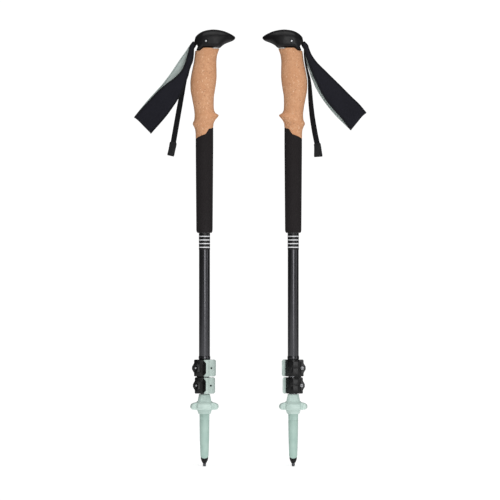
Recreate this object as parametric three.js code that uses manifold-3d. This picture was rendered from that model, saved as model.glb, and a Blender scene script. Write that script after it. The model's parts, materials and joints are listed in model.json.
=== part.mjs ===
// A pair of three-section telescoping trekking poles, collapsed, standing tip down side by side.
// Millimetres, +Z up. The origin is on the ground, midway between the two tips. The left pole's beak
// points to +X and its wrist strap lies towards -X; the right pole is the same pole turned half round Z.
import * as THREE from "three";
import { mergeVertices } from "three/addons/utils/BufferGeometryUtils.js";
import Module from "manifold-3d";

const wasm = await Module();
wasm.setup();

// ---------------------------------------------------------------- driving dimensions
const POLE_SPACING = 130; // between the two shaft axes
const ROUND = 20; // sides of a tube
const GAP = 0.3; // clearance between pieces that touch on the real pole
const SLIDE_GAP = 0.2; // radial clearance of one tube in the next

// The shaft: three tubes of 16, 14 and 12 mm.
const WALL = 0.8;
const UPPER_TUBE = { r: 8, bottom: 134, top: 604 };
const MID_TUBE = { r: UPPER_TUBE.r - WALL - SLIDE_GAP, bottom: 108.5, top: 590 };
const LOWER_TUBE = { r: MID_TUBE.r - WALL - SLIDE_GAP, bottom: 62, top: 570 };
const PLUG_FLANGE = 3.7; // thickness of a tube plug's head
const PLUG_SHANK = 10; // its length inside the tube

// The tip.
const CARBIDE = { r: 1.6, tipR: 2.0, neckR: 2.5, neckZ: 4.4, top: 14 };
const TIP_SEAT = { top: 12.6, r: 5.6, shankR: 4.2, shankTop: 30 };
const SLEEVE = { top: 104.5, topR: 7.4, boreR: LOWER_TUBE.r + GAP, boreFloor: LOWER_TUBE.bottom - GAP };
const BASKET = { bore: 7.7, seatZ: 77, top: 105.8, bodyR: 11.4, rimR: 20.9, notch: 5.6, lobes: 4 };

// The lever clamps. Each one's height, and how much smaller it is in plan than the upper one.
const CLAMP_WALL = 2.9; // of the ring round the tube
const UPPER_CLAMP = { z: 132, height: 24.4, tubeR: UPPER_TUBE.r, plan: 1 };
const LOWER_CLAMP = { z: 106.8, height: 23.6, tubeR: MID_TUBE.r, plan: 0.93 };

// The grip.
const HEAD_FLOOR = 613.1; // underside of the head, on the cork
const FOAM = { bottom: 342, top: 500, topR: 12.9, bottomR: 12.0, boreR: UPPER_TUBE.r + GAP };
const CORK_BORE = UPPER_TUBE.r + GAP;
const SPIGOT = { r: 8, top: 616, bottom: UPPER_TUBE.top + GAP }; // of the plug that joins head and tube

// The wrist strap.
const STRAP_SLOT = { x: 7, halfWidth: 7.6, low: 617.4, high: 627.2 }; // in the head, open to the rear
const STRAP_PIN = { x: 2.3, z: 622.6, r: 1.75, halfLength: 17.1 };
const STRAP_PIVOT = { x: -16, z: 619.8 };
const WEBBING = 1.6; // thickness
const BAND = 2.4; // thickness of the padded band
const STRAP_ANGLE = { left: 32.2, right: 35.2 }; // of the hanging band from straight down, degrees
const STRAP_LENGTH = { left: 0.986, right: 0.97 }; // share of the tabled length
const STRAP_LEAN = { left: 1.27, right: 1.5 }; // share of the tabled lean
const TAIL_ANGLE = { left: 4.2, right: 0 }; // how much further out the tail hangs than its own line
const TAIL_PIVOT = { x: -16.2, z: 616.4 };

// ---------------------------------------------------------------- materials
const finish = (color, roughness, metalness = 0) =>
  new THREE.MeshStandardMaterial({ color, roughness, metalness });
const MATERIAL = {
  head: finish(0x1d1d1f, 0.55),
  cork: finish(0xd09a6c, 0.85),
  foam: finish(0x262427, 0.9),
  tube: finish(0x4a4a4c, 0.38, 0.8),
  tubeInner: finish(0x86888b, 0.35, 0.9),
  clamp: finish(0x18181a, 0.5),
  mint: finish(0xb4d4c9, 0.45),
  steel: finish(0xb8babd, 0.3, 1),
  carbide: finish(0x77777a, 0.4, 1),
  rubber: finish(0x1a1a1b, 0.7),
  webbing: finish(0x202126, 0.85),
  plug: finish(0x2b2b2d, 0.6),
};

// ---------------------------------------------------------------- shapes
const deg = THREE.MathUtils.degToRad;

// A closed three.js geometry as a solid for cutting and joining.
function solidOf(geometry) {
  const bare = geometry.clone();
  for (const name of Object.keys(bare.attributes)) {
    if (name !== "position") bare.deleteAttribute(name);
  }
  const merged = mergeVertices(bare, 1e-4);
  return new wasm.Manifold(
    new wasm.Mesh({
      numProp: 3,
      vertProperties: merged.attributes.position.array,
      triVerts: new Uint32Array(merged.index.array),
    }),
  );
}

// A solid as a three.js geometry.
function geometryOf(solid) {
  const mesh = solid.getMesh();
  const points = new Float32Array(mesh.numVert * 3);
  for (let i = 0; i < mesh.numVert; i++) {
    points.set(mesh.vertProperties.subarray(i * mesh.numProp, i * mesh.numProp + 3), i * 3);
  }
  const made = new THREE.BufferGeometry();
  made.setAttribute("position", new THREE.BufferAttribute(points, 3));
  made.setIndex(new THREE.BufferAttribute(new Uint32Array(mesh.triVerts), 1));
  made.computeVertexNormals();
  return made;
}

const cut = (whole, ...tools) =>
  geometryOf(tools.reduce((left, tool) => left.subtract(solidOf(tool)), solidOf(whole)));
const join = (...pieces) => geometryOf(pieces.map(solidOf).reduce((all, next) => all.add(next)));

// Turns a closed [radius, height] outline, listed anticlockwise, about Z.
function turned(outline, sides = ROUND) {
  const closed = outline[0][0] === 0 ? outline : [...outline, outline[0]];
  const profile = closed.map(([r, z]) => new THREE.Vector2(r, z));
  return new THREE.LatheGeometry(profile, sides).rotateX(Math.PI / 2);
}

const rod = (r, low, high, sides = ROUND) => turned([[0, low], [r, low], [r, high], [0, high]], sides);
const pipe = (r, bore, low, high, sides = ROUND) =>
  turned([[bore, low], [r, low], [r, high], [bore, high]], sides);

// A rod along Y through (x, z).
const crossRod = (r, x, z, from, to, sides = 12) =>
  rod(r, from, to, sides).rotateX(-Math.PI / 2).translate(x, 0, z);

// A plan outline raised from one height to another.
function raised(shape, low, high, curveSegments = 6) {
  return new THREE.ExtrudeGeometry(shape, { depth: high - low, bevelEnabled: false, curveSegments })
    .translate(0, 0, low);
}

// An [x, z] outline, listed anticlockwise as seen from the front, carried along Y.
function crosswise(points, from, to) {
  const shape = new THREE.Shape(points.map(([x, z]) => new THREE.Vector2(x, z)));
  return new THREE.ExtrudeGeometry(shape, { depth: to - from, bevelEnabled: false })
    .rotateX(Math.PI / 2)
    .translate(0, to, 0);
}

function block(x, y, z) {
  return new THREE.BoxGeometry(x[1] - x[0], y[1] - y[0], z[1] - z[0])
    .translate((x[0] + x[1]) / 2, (y[0] + y[1]) / 2, (z[0] + z[1]) / 2);
}

// Rings of equally many points joined into one closed skin: open-ended rings get flat end caps, and
// a closed run of rings joins its last ring to its first.
function skinned(rings, closedRun = false) {
  const sides = rings[0].length;
  const points = rings.flat();
  const faces = [];
  const spans = closedRun ? rings.length : rings.length - 1;
  for (let i = 0; i < spans; i++) {
    const here = i * sides;
    const next = ((i + 1) % rings.length) * sides;
    for (let j = 0; j < sides; j++) {
      const k = (j + 1) % sides;
      faces.push(here + j, here + k, next + k, here + j, next + k, next + j);
    }
  }
  if (!closedRun) {
    [rings[0], rings[rings.length - 1]].forEach((ring, end) => {
      const centre = ring.reduce((sum, p) => sum.add(p), new THREE.Vector3()).divideScalar(sides);
      const first = end === 0 ? 0 : (rings.length - 1) * sides;
      points.push(centre);
      for (let j = 0; j < sides; j++) {
        const k = (j + 1) % sides;
        if (end === 0) faces.push(points.length - 1, first + k, first + j);
        else faces.push(points.length - 1, first + j, first + k);
      }
    });
  }
  const made = new THREE.BufferGeometry().setFromPoints(points);
  made.setIndex(faces);
  made.computeVertexNormals();
  return made;
}

// ---------------------------------------------------------------- grip
// Underside of the head and top of the cork, seen from the front: a rear skirt, then level.
const HEAD_UNDERSIDE = [[-30, 608], [-12.5, 609.2], [-7, 609.2], [-1.5, HEAD_FLOOR], [30, HEAD_FLOOR]];

// [x, top, underside, half width] from the rear of the head to the end of its beak.
const HEAD_SECTIONS = [
  [-14.6, 625.4, 613.6, 8.5],
  [-13.4, 628.6, 610.9, 11.4],
  [-10.8, 631.8, 609.4, 13.6],
  [-7, 634.8, 609.3, 15.2],
  [-1.5, 637.6, HEAD_FLOOR, 16.5],
  [6, 639.4, HEAD_FLOOR, 17.1],
  [13, 640, HEAD_FLOOR, 17.2],
  [19, 639.6, HEAD_FLOOR, 16.7],
  [22.6, 639, 613.4, 16.1],
  [26, 638.3, 616.2, 15.3],
  [31, 636.8, 619.3, 13.9],
  [36.5, 634.4, 621.5, 11.6],
  [41.5, 631.7, 623.5, 8],
  [44.2, 629.8, 625.6, 3.6],
];

// Under the slot the rear of the head is hollowed, where the straps turn down.
const REAR_HOLLOW = [[-30, 600], [-12.4, 600], [-11.8, 609.8], [-9.8, 614.4], [-11, 618], [-30, 618]];

function head() {
  const sides = 16;
  const squareness = 0.8; // below 1, a section is fuller than an ellipse
  const power = (v) => Math.sign(v) * Math.abs(v) ** squareness;
  const rings = HEAD_SECTIONS.map(([x, top, floor, halfWidth]) =>
    Array.from({ length: sides }, (_, i) => {
      const a = (2 * Math.PI * i) / sides;
      const z = (top + floor) / 2 + ((top - floor) / 2) * power(Math.sin(a));
      return new THREE.Vector3(x, halfWidth * power(Math.cos(a)), z);
    }),
  );
  const slot = block([-30, STRAP_SLOT.x], [-STRAP_SLOT.halfWidth, STRAP_SLOT.halfWidth],
    [STRAP_SLOT.low, STRAP_SLOT.high]);
  const hollow = crosswise(REAR_HOLLOW, -30, 30);
  const socket = rod(SPIGOT.r + GAP, 600, SPIGOT.top + GAP);
  const pinHole = crossRod(STRAP_PIN.r + GAP, STRAP_PIN.x, STRAP_PIN.z, -25, 25);
  return cut(skinned(rings), slot, hollow, socket, pinHole);
}

// [height, reach to the rear, reach to the front, half width, slope of the section towards the beak].
const CORK_SECTIONS = [
  [470, 12.9, 12.9, 12.9, 0.32],
  [490, 13.0, 12.9, 12.9, 0.32],
  [497, 13.6, 13.2, 13.1, 0.32],
  [502, 15.2, 15.6, 14.0, 0.32],
  [507.5, 17.2, 20.8, 16.4, 0.32],
  [513, 14.9, 15.9, 13.9, 0.32],
  [519, 14.5, 13.9, 13.3, 0.3],
  [528, 15.6, 13.6, 13.6, 0.2],
  [540, 18.0, 13.9, 14.6, 0.1],
  [552, 20.4, 15.5, 15.6, 0],
  [562, 20.7, 17.0, 15.9, 0],
  [572, 19.6, 17.8, 15.4, 0],
  [582, 17.7, 17.7, 14.7, 0],
  [592, 15.6, 17.5, 14.1, 0],
  [601, 14.4, 18.3, 14.0, 0],
  [608, 13.6, 20.4, 14.3, 0],
  [614, 12.6, 22.6, 14.6, 0],
];

// Where the cork ends and the foam begins, seen from the front: low at the rear, stepping up to the beak.
const CORK_FOOT = [
  [-30, 473], [-11.7, 480.7], [-7.3, 483.2], [-2.9, 484.9], [1.5, 486.6], [3.6, 489.2],
  [5.9, 493.1], [7.6, 494.4], [10.3, 494.9], [13.2, 496.6], [30, 500],
];

function corkSection([height, rear, front, halfWidth, slope], sides) {
  return Array.from({ length: sides }, (_, i) => {
    const a = (2 * Math.PI * i) / sides;
    const x = (front - rear) / 2 + ((front + rear) / 2) * Math.cos(a);
    return new THREE.Vector3(x, halfWidth * Math.sin(a), height + slope * x);
  });
}

function corkGrip() {
  const rings = CORK_SECTIONS.map((section) => corkSection(section, 20));
  const belowFoot = crosswise([[-30, 440], [30, 440], ...CORK_FOOT.toReversed()], -30, 30);
  const aboveTop = crosswise([
    ...HEAD_UNDERSIDE.map(([x, z]) => [x, z - GAP]),
    [30, 640],
    [-30, 640],
  ], -30, 30);
  return cut(skinned(rings), rod(CORK_BORE, 430, 660), belowFoot, aboveTop);
}

function foamSleeve() {
  const shoulder = 4.5; // rounded lower end
  const outline = [
    [FOAM.boreR, FOAM.bottom],
    [FOAM.bottomR - 2.2, FOAM.bottom],
    [FOAM.bottomR - 0.6, FOAM.bottom + 1.5],
    [FOAM.bottomR, FOAM.bottom + shoulder],
    [FOAM.topR, 470],
    [FOAM.topR, FOAM.top],
    [FOAM.boreR, FOAM.top],
  ];
  const aboveFoot = crosswise([
    ...CORK_FOOT.map(([x, z]) => [x, z - GAP]),
    [30, 530],
    [-30, 530],
  ], -30, 30);
  return cut(turned(outline), aboveFoot);
}

// Holds the head on the shaft: a shank in the tube and a spigot up into the head.
function gripPlug() {
  const shankR = UPPER_TUBE.r - WALL - GAP;
  return turned([
    [0, UPPER_TUBE.top - 8],
    [shankR, UPPER_TUBE.top - 8],
    [shankR, SPIGOT.bottom],
    [SPIGOT.r, SPIGOT.bottom],
    [SPIGOT.r, SPIGOT.top],
    [0, SPIGOT.top],
  ]);
}

// ---------------------------------------------------------------- wrist strap
const strapPin = () =>
  crossRod(STRAP_PIN.r, STRAP_PIN.x, STRAP_PIN.z, -STRAP_PIN.halfLength, STRAP_PIN.halfLength);

// The webbing's sewn end: an eye round the pin, and a leg along the slot to its mouth.
function strapAnchor() {
  const halfWidth = 6.2;
  const eyeR = STRAP_PIN.r + GAP + WEBBING;
  const legTop = STRAP_PIN.z - eyeR + WEBBING;
  const eye = crossRod(eyeR, STRAP_PIN.x, STRAP_PIN.z, -halfWidth, halfWidth);
  const leg = block([STRAP_PIVOT.x + 2.6, STRAP_PIN.x], [-halfWidth, halfWidth], [legTop - WEBBING, legTop]);
  const hole = crossRod(STRAP_PIN.r + GAP, STRAP_PIN.x, STRAP_PIN.z, -halfWidth - 1, halfWidth + 1);
  return cut(join(eye, leg), hole);
}

// The wedge that pinches the webbing against the slot's floor, with a ribbed thumb face to the rear.
function strapWedge() {
  const half = STRAP_SLOT.halfWidth - 0.5;
  const top = STRAP_SLOT.high - 0.4;
  return crosswise([[-14.2, 622.4], [-5, 623.4], [-5, top], [-12.8, top], [-14.2, 625.6]], -half, half);
}

// A flat ribbon through stations [along, aside, depth, width, twist, lean], hung from a pivot in the
// plane of the grip. along runs down the strap, aside away from the grip, and depth to the back.
// twist turns the width from across the grip (0) to flat in the grip's plane (90), and lean tilts it
// down towards the grip.
function ribbon(stations, thickness, pivot, angle) {
  const a = deg(angle);
  const down = new THREE.Vector3(-Math.sin(a), 0, -Math.cos(a));
  const out = new THREE.Vector3(-Math.cos(a), 0, Math.sin(a));
  const back = new THREE.Vector3(0, 1, 0);
  const place = (along, aside, depth) =>
    new THREE.Vector3(pivot.x, 0, pivot.z)
      .addScaledVector(down, along)
      .addScaledVector(out, aside)
      .addScaledVector(back, depth);
  const centres = stations.map(([along, aside, depth]) => place(along, aside, depth));
  const rings = stations.map(([, , , width, twist, lean], i) => {
    const tangent = centres[Math.min(i + 1, centres.length - 1)]
      .clone()
      .sub(centres[Math.max(i - 1, 0)])
      .normalize();
    const [turn, tilt] = [deg(twist), deg(lean)];
    const flat = out.clone().multiplyScalar(Math.cos(tilt)).addScaledVector(down, -Math.sin(tilt));
    const across = back.clone().multiplyScalar(Math.cos(turn)).addScaledVector(flat, Math.sin(turn));
    across.addScaledVector(tangent, -across.dot(tangent) * Math.cos(tilt)).normalize();
    const normal = tangent.clone().cross(across).normalize();
    const corner = (w, t) => centres[i].clone()
      .addScaledVector(across, (w * width) / 2)
      .addScaledVector(normal, (t * thickness) / 2);
    return [corner(1, -1), corner(1, 1), corner(-1, 1), corner(-1, -1)];
  });
  return skinned(rings);
}

// Half of the band's loop from the slot down to the fold. side is -1 for the front half, which sags
// towards the grip, and 1 for the back half.
const FRONT_HALF = [
  [0, 0, 3.5, 5.2, 0, 0],
  [8, -2, 6.6, 7, 55, 0],
  [20, -6.6, 7.6, 9.6, 80, 0],
  [35, -10.8, 8.4, 10.2, 88, 0],
  [50, -13, 9.2, 14.8, 90, 0],
  [62, -12.8, 9.9, 20.6, 90, 0],
  [75, -11.3, 10.4, 27, 90, 0],
  [90, -9.2, 10.4, 31.6, 90, 2],
  [110, -6.6, 9, 34.4, 90, 6],
  [128, -3.4, 5.4, 35.4, 90, 9],
  [141, -1.2, 1.75, 35, 90, 11],
];
const BACK_HALF = {
  left: [
    [0, 0, 3.5, 5.2, 0, 0],
    [8, 0.6, 6.6, 7, 55, 0],
    [20, -1.3, 7.6, 11.5, 80, 0],
    [35, -3, 8.4, 16, 88, 0],
    [50, -3.8, 9.2, 18.4, 90, 0],
    [62, -4.7, 9.9, 21.6, 90, 0],
    [75, -4.9, 10.4, 24.2, 90, 0],
    [90, -4.4, 10.4, 28.1, 90, 2],
    [110, -2.7, 9, 31.6, 90, 6],
    [128, -1.8, 5.4, 34, 90, 9],
    [141, -1.2, 1.75, 35, 90, 11],
  ],
  right: [
    [0, 0, 3.5, 5.2, 0, 0],
    [8, -1, 6.6, 7, 55, 0],
    [20, -5.1, 7.6, 9.2, 80, 0],
    [35, -7.3, 8.4, 13.4, 88, 0],
    [50, -7.9, 9.2, 19.3, 90, 0],
    [62, -7.9, 9.9, 23.3, 90, 0],
    [75, -7.8, 10.4, 27.6, 90, 0],
    [90, -7, 10.4, 31, 90, 2],
    [110, -4.6, 9, 32.8, 90, 6],
    [128, -1.8, 5.4, 34, 90, 9],
    [141, -1.2, 1.75, 35, 90, 11],
  ],
};
function strapHalf(half, side, pole) {
  const stations = half.map(([s, t, y, w, twist, lean]) =>
    [s * STRAP_LENGTH[pole], t, side * y, w, -side * twist, lean * STRAP_LEAN[pole]]);
  return ribbon(stations, BAND, STRAP_PIVOT, STRAP_ANGLE[pole]);
}

// The adjusting tail, from the slot's lower lip down to its moulded tab.
const TAIL = {
  left: [
    [0, 0, 0, 4, 0, 0],
    [4, -0.6, 0.2, 4.4, 5, 0],
    [12, 0, 1, 7, 20, 0],
    [22, 1.6, 2, 9, 36, 0],
    [36, 6.9, 2.6, 10, 52, 0],
    [52, 9.6, 2.6, 10, 62, 0],
    [75, 12, 2, 10, 68, 0],
    [100, 14.6, 1, 10, 72, 0],
    [130, 17.6, 0.2, 10, 78, 0],
    [144, 19, 0, 10, 82, 0],
  ],
  right: [
    [0, 0, 0, 4, 0, 0],
    [4, 0.1, 0.2, 4.4, 4, 0],
    [12, 0.4, 1, 7, 8, 0],
    [22, 1.4, 2, 9, 10, 0],
    [36, 4.5, 2.6, 10, 14, 0],
    [50, 7.5, 2.6, 10, 24, 0],
    [62, 8.6, 2.4, 10, 38, 0],
    [75, 9.4, 2, 10, 50, 0],
    [100, 11.6, 1, 10, 62, 0],
    [130, 16.2, 0.2, 10, 76, 0],
    [143.6, 19, 0, 10, 82, 0],
  ],
};
const TAIL_TAB = [
  [144.4, 19.05, 0, 11.4, 82, 0],
  [149, 19.5, 0, 11.4, 83, 0],
  [154, 20, 0, 12.2, 84, 0],
  [163, 21, 0, 13, 86, 0],
];
const strapTail = (side) => ribbon(TAIL[side], WEBBING, TAIL_PIVOT, TAIL_ANGLE[side]);
const tailTab = (side) => ribbon(TAIL_TAB, 3.4, TAIL_PIVOT, TAIL_ANGLE[side]);

// ---------------------------------------------------------------- shaft
const tube = ({ r, bottom, top }) => pipe(r, r - WALL, bottom, top);

// Stops a tube's upper end and centres it in the tube around it.
function tubePlug({ r, top }) {
  const shankR = r - WALL - GAP;
  const headR = r + 0.05;
  return turned([
    [0, top - PLUG_SHANK],
    [shankR, top - PLUG_SHANK],
    [shankR, top + GAP],
    [headR, top + GAP],
    [headR, top + PLUG_FLANGE],
    [0, top + PLUG_FLANGE],
  ]);
}

// ---------------------------------------------------------------- lever clamp
// In plan the tube is at the origin, the ears and tension screw are at -X, and the lever wraps round
// the front to +X from a pin at the front.
const LEVER_PIN = { x: 3.0, y: -14.4, r: 1.2 };
const KNUCKLE_R = 2.6;
const EYE_R = 3.2; // of the lever's fork arms round the pin
const CHEEK = { r: 4.3, from: 2.4 }; // the lever's outer bulge over the knuckle, open to -X
const FORK = 4.4; // height of each of the lever's two fork arms
const LEVER = { inner: 12.0, outer: 16.3, from: -68, to: 14 }; // radii and angles of its shell
const SCREW = { x: -13.2, r: 1.5, headR: 2.7 };
const NUT_HEIGHT = 2.2;
const EAR = { from: -15.2, tip: -18.2, halfWidth: 6.8 };

const leverPinAt = (plan) => ({ x: LEVER_PIN.x * plan, y: LEVER_PIN.y * plan });
const knuckleRod = (plan, r, low, high) =>
  rod(r, low, high, 12).translate(leverPinAt(plan).x, leverPinAt(plan).y, 0);

function clampBody({ z, height, tubeR, plan }) {
  const mid = z + height / 2;
  const ringR = tubeR + GAP + CLAMP_WALL;
  const ring = rod(ringR, z, z + height);
  const ears = crosswise([
    [-6, z], [EAR.from * plan, z], [EAR.from * plan, z + 5], [EAR.tip * plan, mid - 2],
    [EAR.tip * plan, mid + 2], [EAR.from * plan, z + height - 5], [EAR.from * plan, z + height],
    [-6, z + height],
  ], -EAR.halfWidth * plan, EAR.halfWidth * plan);
  // The housing in front of the ring carries the knuckle for the lever's pin.
  const housing = new THREE.Shape([
    [-13.8, -6], [-12.6, -11.2], [-10.4, -13], [-3.4, -13.6], [0.4, -13], [0.4, -6],
  ].map(([x, y]) => new THREE.Vector2(x * plan, y * plan)));
  const front = cut(raised(housing, z, z + height), knuckleRod(plan, CHEEK.r + GAP, z - 1, z + height + 1));
  const knuckle = knuckleRod(plan, KNUCKLE_R, z + FORK + GAP, z + height - FORK - GAP);
  const web = block([(LEVER_PIN.x - 2) * plan, (LEVER_PIN.x + 2) * plan],
    [LEVER_PIN.y * plan, -6], [z + FORK + GAP, z + height - FORK - GAP]);
  const solid = join(ring, ears, front, web, knuckle);
  const forkRoom = (low, high) => knuckleRod(plan, EYE_R + GAP, low, high);
  return cut(
    solid,
    rod(tubeR + GAP, z - 1, z + height + 1),
    block([-30, 0], [-0.9, 0.9], [z - 1, z + height + 1]),
    crossRod(SCREW.r + GAP, SCREW.x * plan, mid, -20, 20, 12),
    block([-30, SCREW.x * plan + 3], [-30, -EAR.halfWidth * plan], [mid - 3.1, mid + 3.1]),
    knuckleRod(plan, LEVER_PIN.r + GAP, z - 1, z + height + 1),
    forkRoom(z - 1, z + FORK + GAP),
    forkRoom(z + height - FORK - GAP, z + height + 1),
  );
}

function clampLever({ z, height, tubeR, plan }) {
  const pin = leverPinAt(plan);
  const arc = (r, from, to) => {
    const steps = 9;
    return Array.from({ length: steps + 1 }, (_, i) => {
      const a = deg(from + ((to - from) * i) / steps);
      return new THREE.Vector2(r * plan * Math.cos(a), r * plan * Math.sin(a));
    });
  };
  // The shell and its cheek are full height. The knuckle stands between the two fork arms.
  const shell = raised(
    new THREE.Shape([...arc(LEVER.outer, LEVER.from, LEVER.to), ...arc(LEVER.inner, LEVER.to, LEVER.from)]),
    z, z + height);
  const beyondCheek = block([-20, CHEEK.from * plan], [-30, 0], [z - 1, z + height + 1]);
  const cheek = cut(rod(CHEEK.r, z, z + height, 20).translate(pin.x, pin.y, 0), beyondCheek);
  const eye = (low, high) => rod(EYE_R, low, high, 16).translate(pin.x, pin.y, 0);
  const low = z + FORK;
  const high = z + height - FORK;
  const solid = join(shell, cheek, eye(z, low), eye(high, z + height));
  const webRoom = block([-20, (LEVER_PIN.x + 2.6) * plan], [LEVER_PIN.y * plan + 1.2, 0], [low, high]);
  return cut(
    solid,
    webRoom,
    rod(tubeR + 2 * GAP + CLAMP_WALL, z - 1, z + height + 1),
    knuckleRod(plan, KNUCKLE_R + GAP, low, high),
    knuckleRod(plan, LEVER_PIN.r + GAP, z - 1, z + height + 1),
  );
}

const leverPin = ({ z, height, plan }) => knuckleRod(plan, LEVER_PIN.r, z + 0.4, z + height - 0.4);

// Draws the two ears together: a socket head at the back and a shank through to the nut.
function tensionScrew({ z, height, plan }) {
  const mid = z + height / 2;
  const at = SCREW.x * plan;
  const face = EAR.halfWidth * plan + GAP;
  const shank = crossRod(SCREW.r, at, mid, -face - NUT_HEIGHT, face, 12);
  const capHead = crossRod(SCREW.headR, at, mid, face, face + 2.8, 12);
  const socket = crossRod(1.3, at, mid, face + 1.2, face + 4, 6);
  return cut(join(shank, capHead), socket);
}

function tensionNut({ z, height, plan }) {
  const mid = z + height / 2;
  const at = SCREW.x * plan;
  const face = EAR.halfWidth * plan + GAP;
  const nut = crossRod(2.7, at, mid, -face - NUT_HEIGHT, -face, 6);
  return cut(nut, crossRod(SCREW.r + 0.1, at, mid, -face - 3, 0, 12));
}

// ---------------------------------------------------------------- tip
// The tapered lower end of the pole, over the end of the lowest tube.
function tipSleeve() {
  return turned([
    [TIP_SEAT.shankR + GAP, TIP_SEAT.top + GAP],
    [5.8, TIP_SEAT.top + GAP],
    [6.05, 16],
    [6.35, 24],
    [6.75, 36],
    [7.1, 58],
    [7.3, BASKET.seatZ],
    [SLEEVE.topR, 84],
    [SLEEVE.topR, SLEEVE.top],
    [SLEEVE.boreR, SLEEVE.top],
    [SLEEVE.boreR, SLEEVE.boreFloor],
    [TIP_SEAT.shankR + GAP, SLEEVE.boreFloor - 2],
  ]);
}

function tipSeat() {
  const { top, r, shankR, shankTop } = TIP_SEAT;
  const bore = CARBIDE.r + GAP;
  return turned([
    [bore, CARBIDE.neckZ + GAP],
    [CARBIDE.neckR, CARBIDE.neckZ + GAP],
    [3.6, 6.2],
    [4.8, 8.4],
    [r - 0.1, top - 1.8],
    [r, top],
    [shankR, top],
    [shankR, shankTop],
    [0, shankTop],
    [0, CARBIDE.top + GAP],
    [bore, CARBIDE.top + GAP],
  ], 16);
}

const carbideTip = () =>
  turned([
    [0, 0],
    [CARBIDE.tipR, 0],
    [CARBIDE.neckR, CARBIDE.neckZ],
    [CARBIDE.r, CARBIDE.neckZ],
    [CARBIDE.r, CARBIDE.top],
    [0, CARBIDE.top],
  ], 12);

// A disc of four broad lobes with a drooping rim, on a collar. Each ring is its section at one angle.
function basket() {
  const { bore, seatZ, top, bodyR, rimR, notch, lobes } = BASKET;
  const steps = 32;
  const rings = Array.from({ length: steps }, (_, i) => {
    const a = (-2 * Math.PI * i) / steps;
    const turn = (lobes * i) / steps;
    const fromLobe = 2 * Math.abs(turn - Math.round(turn)); // 0 in the middle of a lobe, 1 in a notch
    const rim = rimR - notch * THREE.MathUtils.smoothstep(fromLobe, 0.55, 0.97);
    const outTo = (share) => bodyR + (rim - bodyR) * share;
    const outline = [
      [bore, seatZ],
      [bore + 1.1, seatZ],
      [bodyR, seatZ + 7.5],
      [outTo(0.4), seatZ + 7.9],
      [outTo(0.45), seatZ + 6.1],
      [outTo(0.75), seatZ + 6.6],
      [outTo(0.96), seatZ + 9],
      [rim, seatZ + 11.2],
      [outTo(0.87), seatZ + 14.2],
      [outTo(0.54), seatZ + 16.1],
      [outTo(0.02), seatZ + 17.1],
      [bodyR - 0.2, seatZ + 20.5],
      [bore + 1, top],
      [bore, top],
    ];
    return outline.map(([r, z]) => new THREE.Vector3(r * Math.cos(a), r * Math.sin(a), z));
  });
  return skinned(rings, true);
}

// ---------------------------------------------------------------- one pole
function pole(side) {
  const group = new THREE.Group();
  const add = (name, geometry, material) => {
    const mesh = new THREE.Mesh(geometry, material);
    mesh.name = `${side}_${name}`;
    group.add(mesh);
  };
  add("grip_head", head(), MATERIAL.head);
  add("cork_grip", corkGrip(), MATERIAL.cork);
  add("foam_sleeve", foamSleeve(), MATERIAL.foam);
  add("grip_plug", gripPlug(), MATERIAL.plug);
  add("strap_pin", strapPin(), MATERIAL.steel);
  add("strap_anchor", strapAnchor(), MATERIAL.webbing);
  add("strap_wedge", strapWedge(), MATERIAL.plug);
  add("strap_front_half", strapHalf(FRONT_HALF, -1, side), MATERIAL.webbing);
  add("strap_back_half", strapHalf(BACK_HALF[side], 1, side), MATERIAL.webbing);
  add("strap_tail", strapTail(side), MATERIAL.webbing);
  add("tail_tab", tailTab(side), MATERIAL.rubber);

  add("upper_tube", tube(UPPER_TUBE), MATERIAL.tube);
  add("mid_tube", tube(MID_TUBE), MATERIAL.tubeInner);
  add("mid_tube_plug", tubePlug(MID_TUBE), MATERIAL.plug);
  add("lower_tube", tube(LOWER_TUBE), MATERIAL.tubeInner);
  add("lower_tube_plug", tubePlug(LOWER_TUBE), MATERIAL.plug);

  for (const [place, clamp] of [["upper", UPPER_CLAMP], ["lower", LOWER_CLAMP]]) {
    add(`${place}_clamp_body`, clampBody(clamp), MATERIAL.clamp);
    add(`${place}_clamp_lever`, clampLever(clamp), MATERIAL.mint);
    add(`${place}_lever_pin`, leverPin(clamp), MATERIAL.steel);
    add(`${place}_tension_screw`, tensionScrew(clamp), MATERIAL.steel);
    add(`${place}_tension_nut`, tensionNut(clamp), MATERIAL.steel);
  }

  add("tip_sleeve", tipSleeve(), MATERIAL.mint);
  add("basket", basket(), MATERIAL.mint);
  add("tip_seat", tipSeat(), MATERIAL.rubber);
  add("carbide_tip", carbideTip(), MATERIAL.carbide);
  return group;
}

const pair = new THREE.Group();
const left = pole("left");
left.position.x = -POLE_SPACING / 2;
const right = pole("right");
right.position.x = POLE_SPACING / 2;
right.rotation.z = Math.PI;
pair.add(left, right);

export default pair;
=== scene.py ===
"""A pair of telescoping trekking poles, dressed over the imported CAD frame.

Every shape is drawn in one pole's own frame, in millimetres: the shaft is the Z axis with the tip at
z = 0, the head's beak points to +X and the wrist strap hangs towards -X. The left pole is that frame
moved to the left shaft. The right pole is the same, turned half round Z."""

import json
import math

import bmesh
import bpy
import numpy as np
from mathutils import Matrix, Vector

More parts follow.
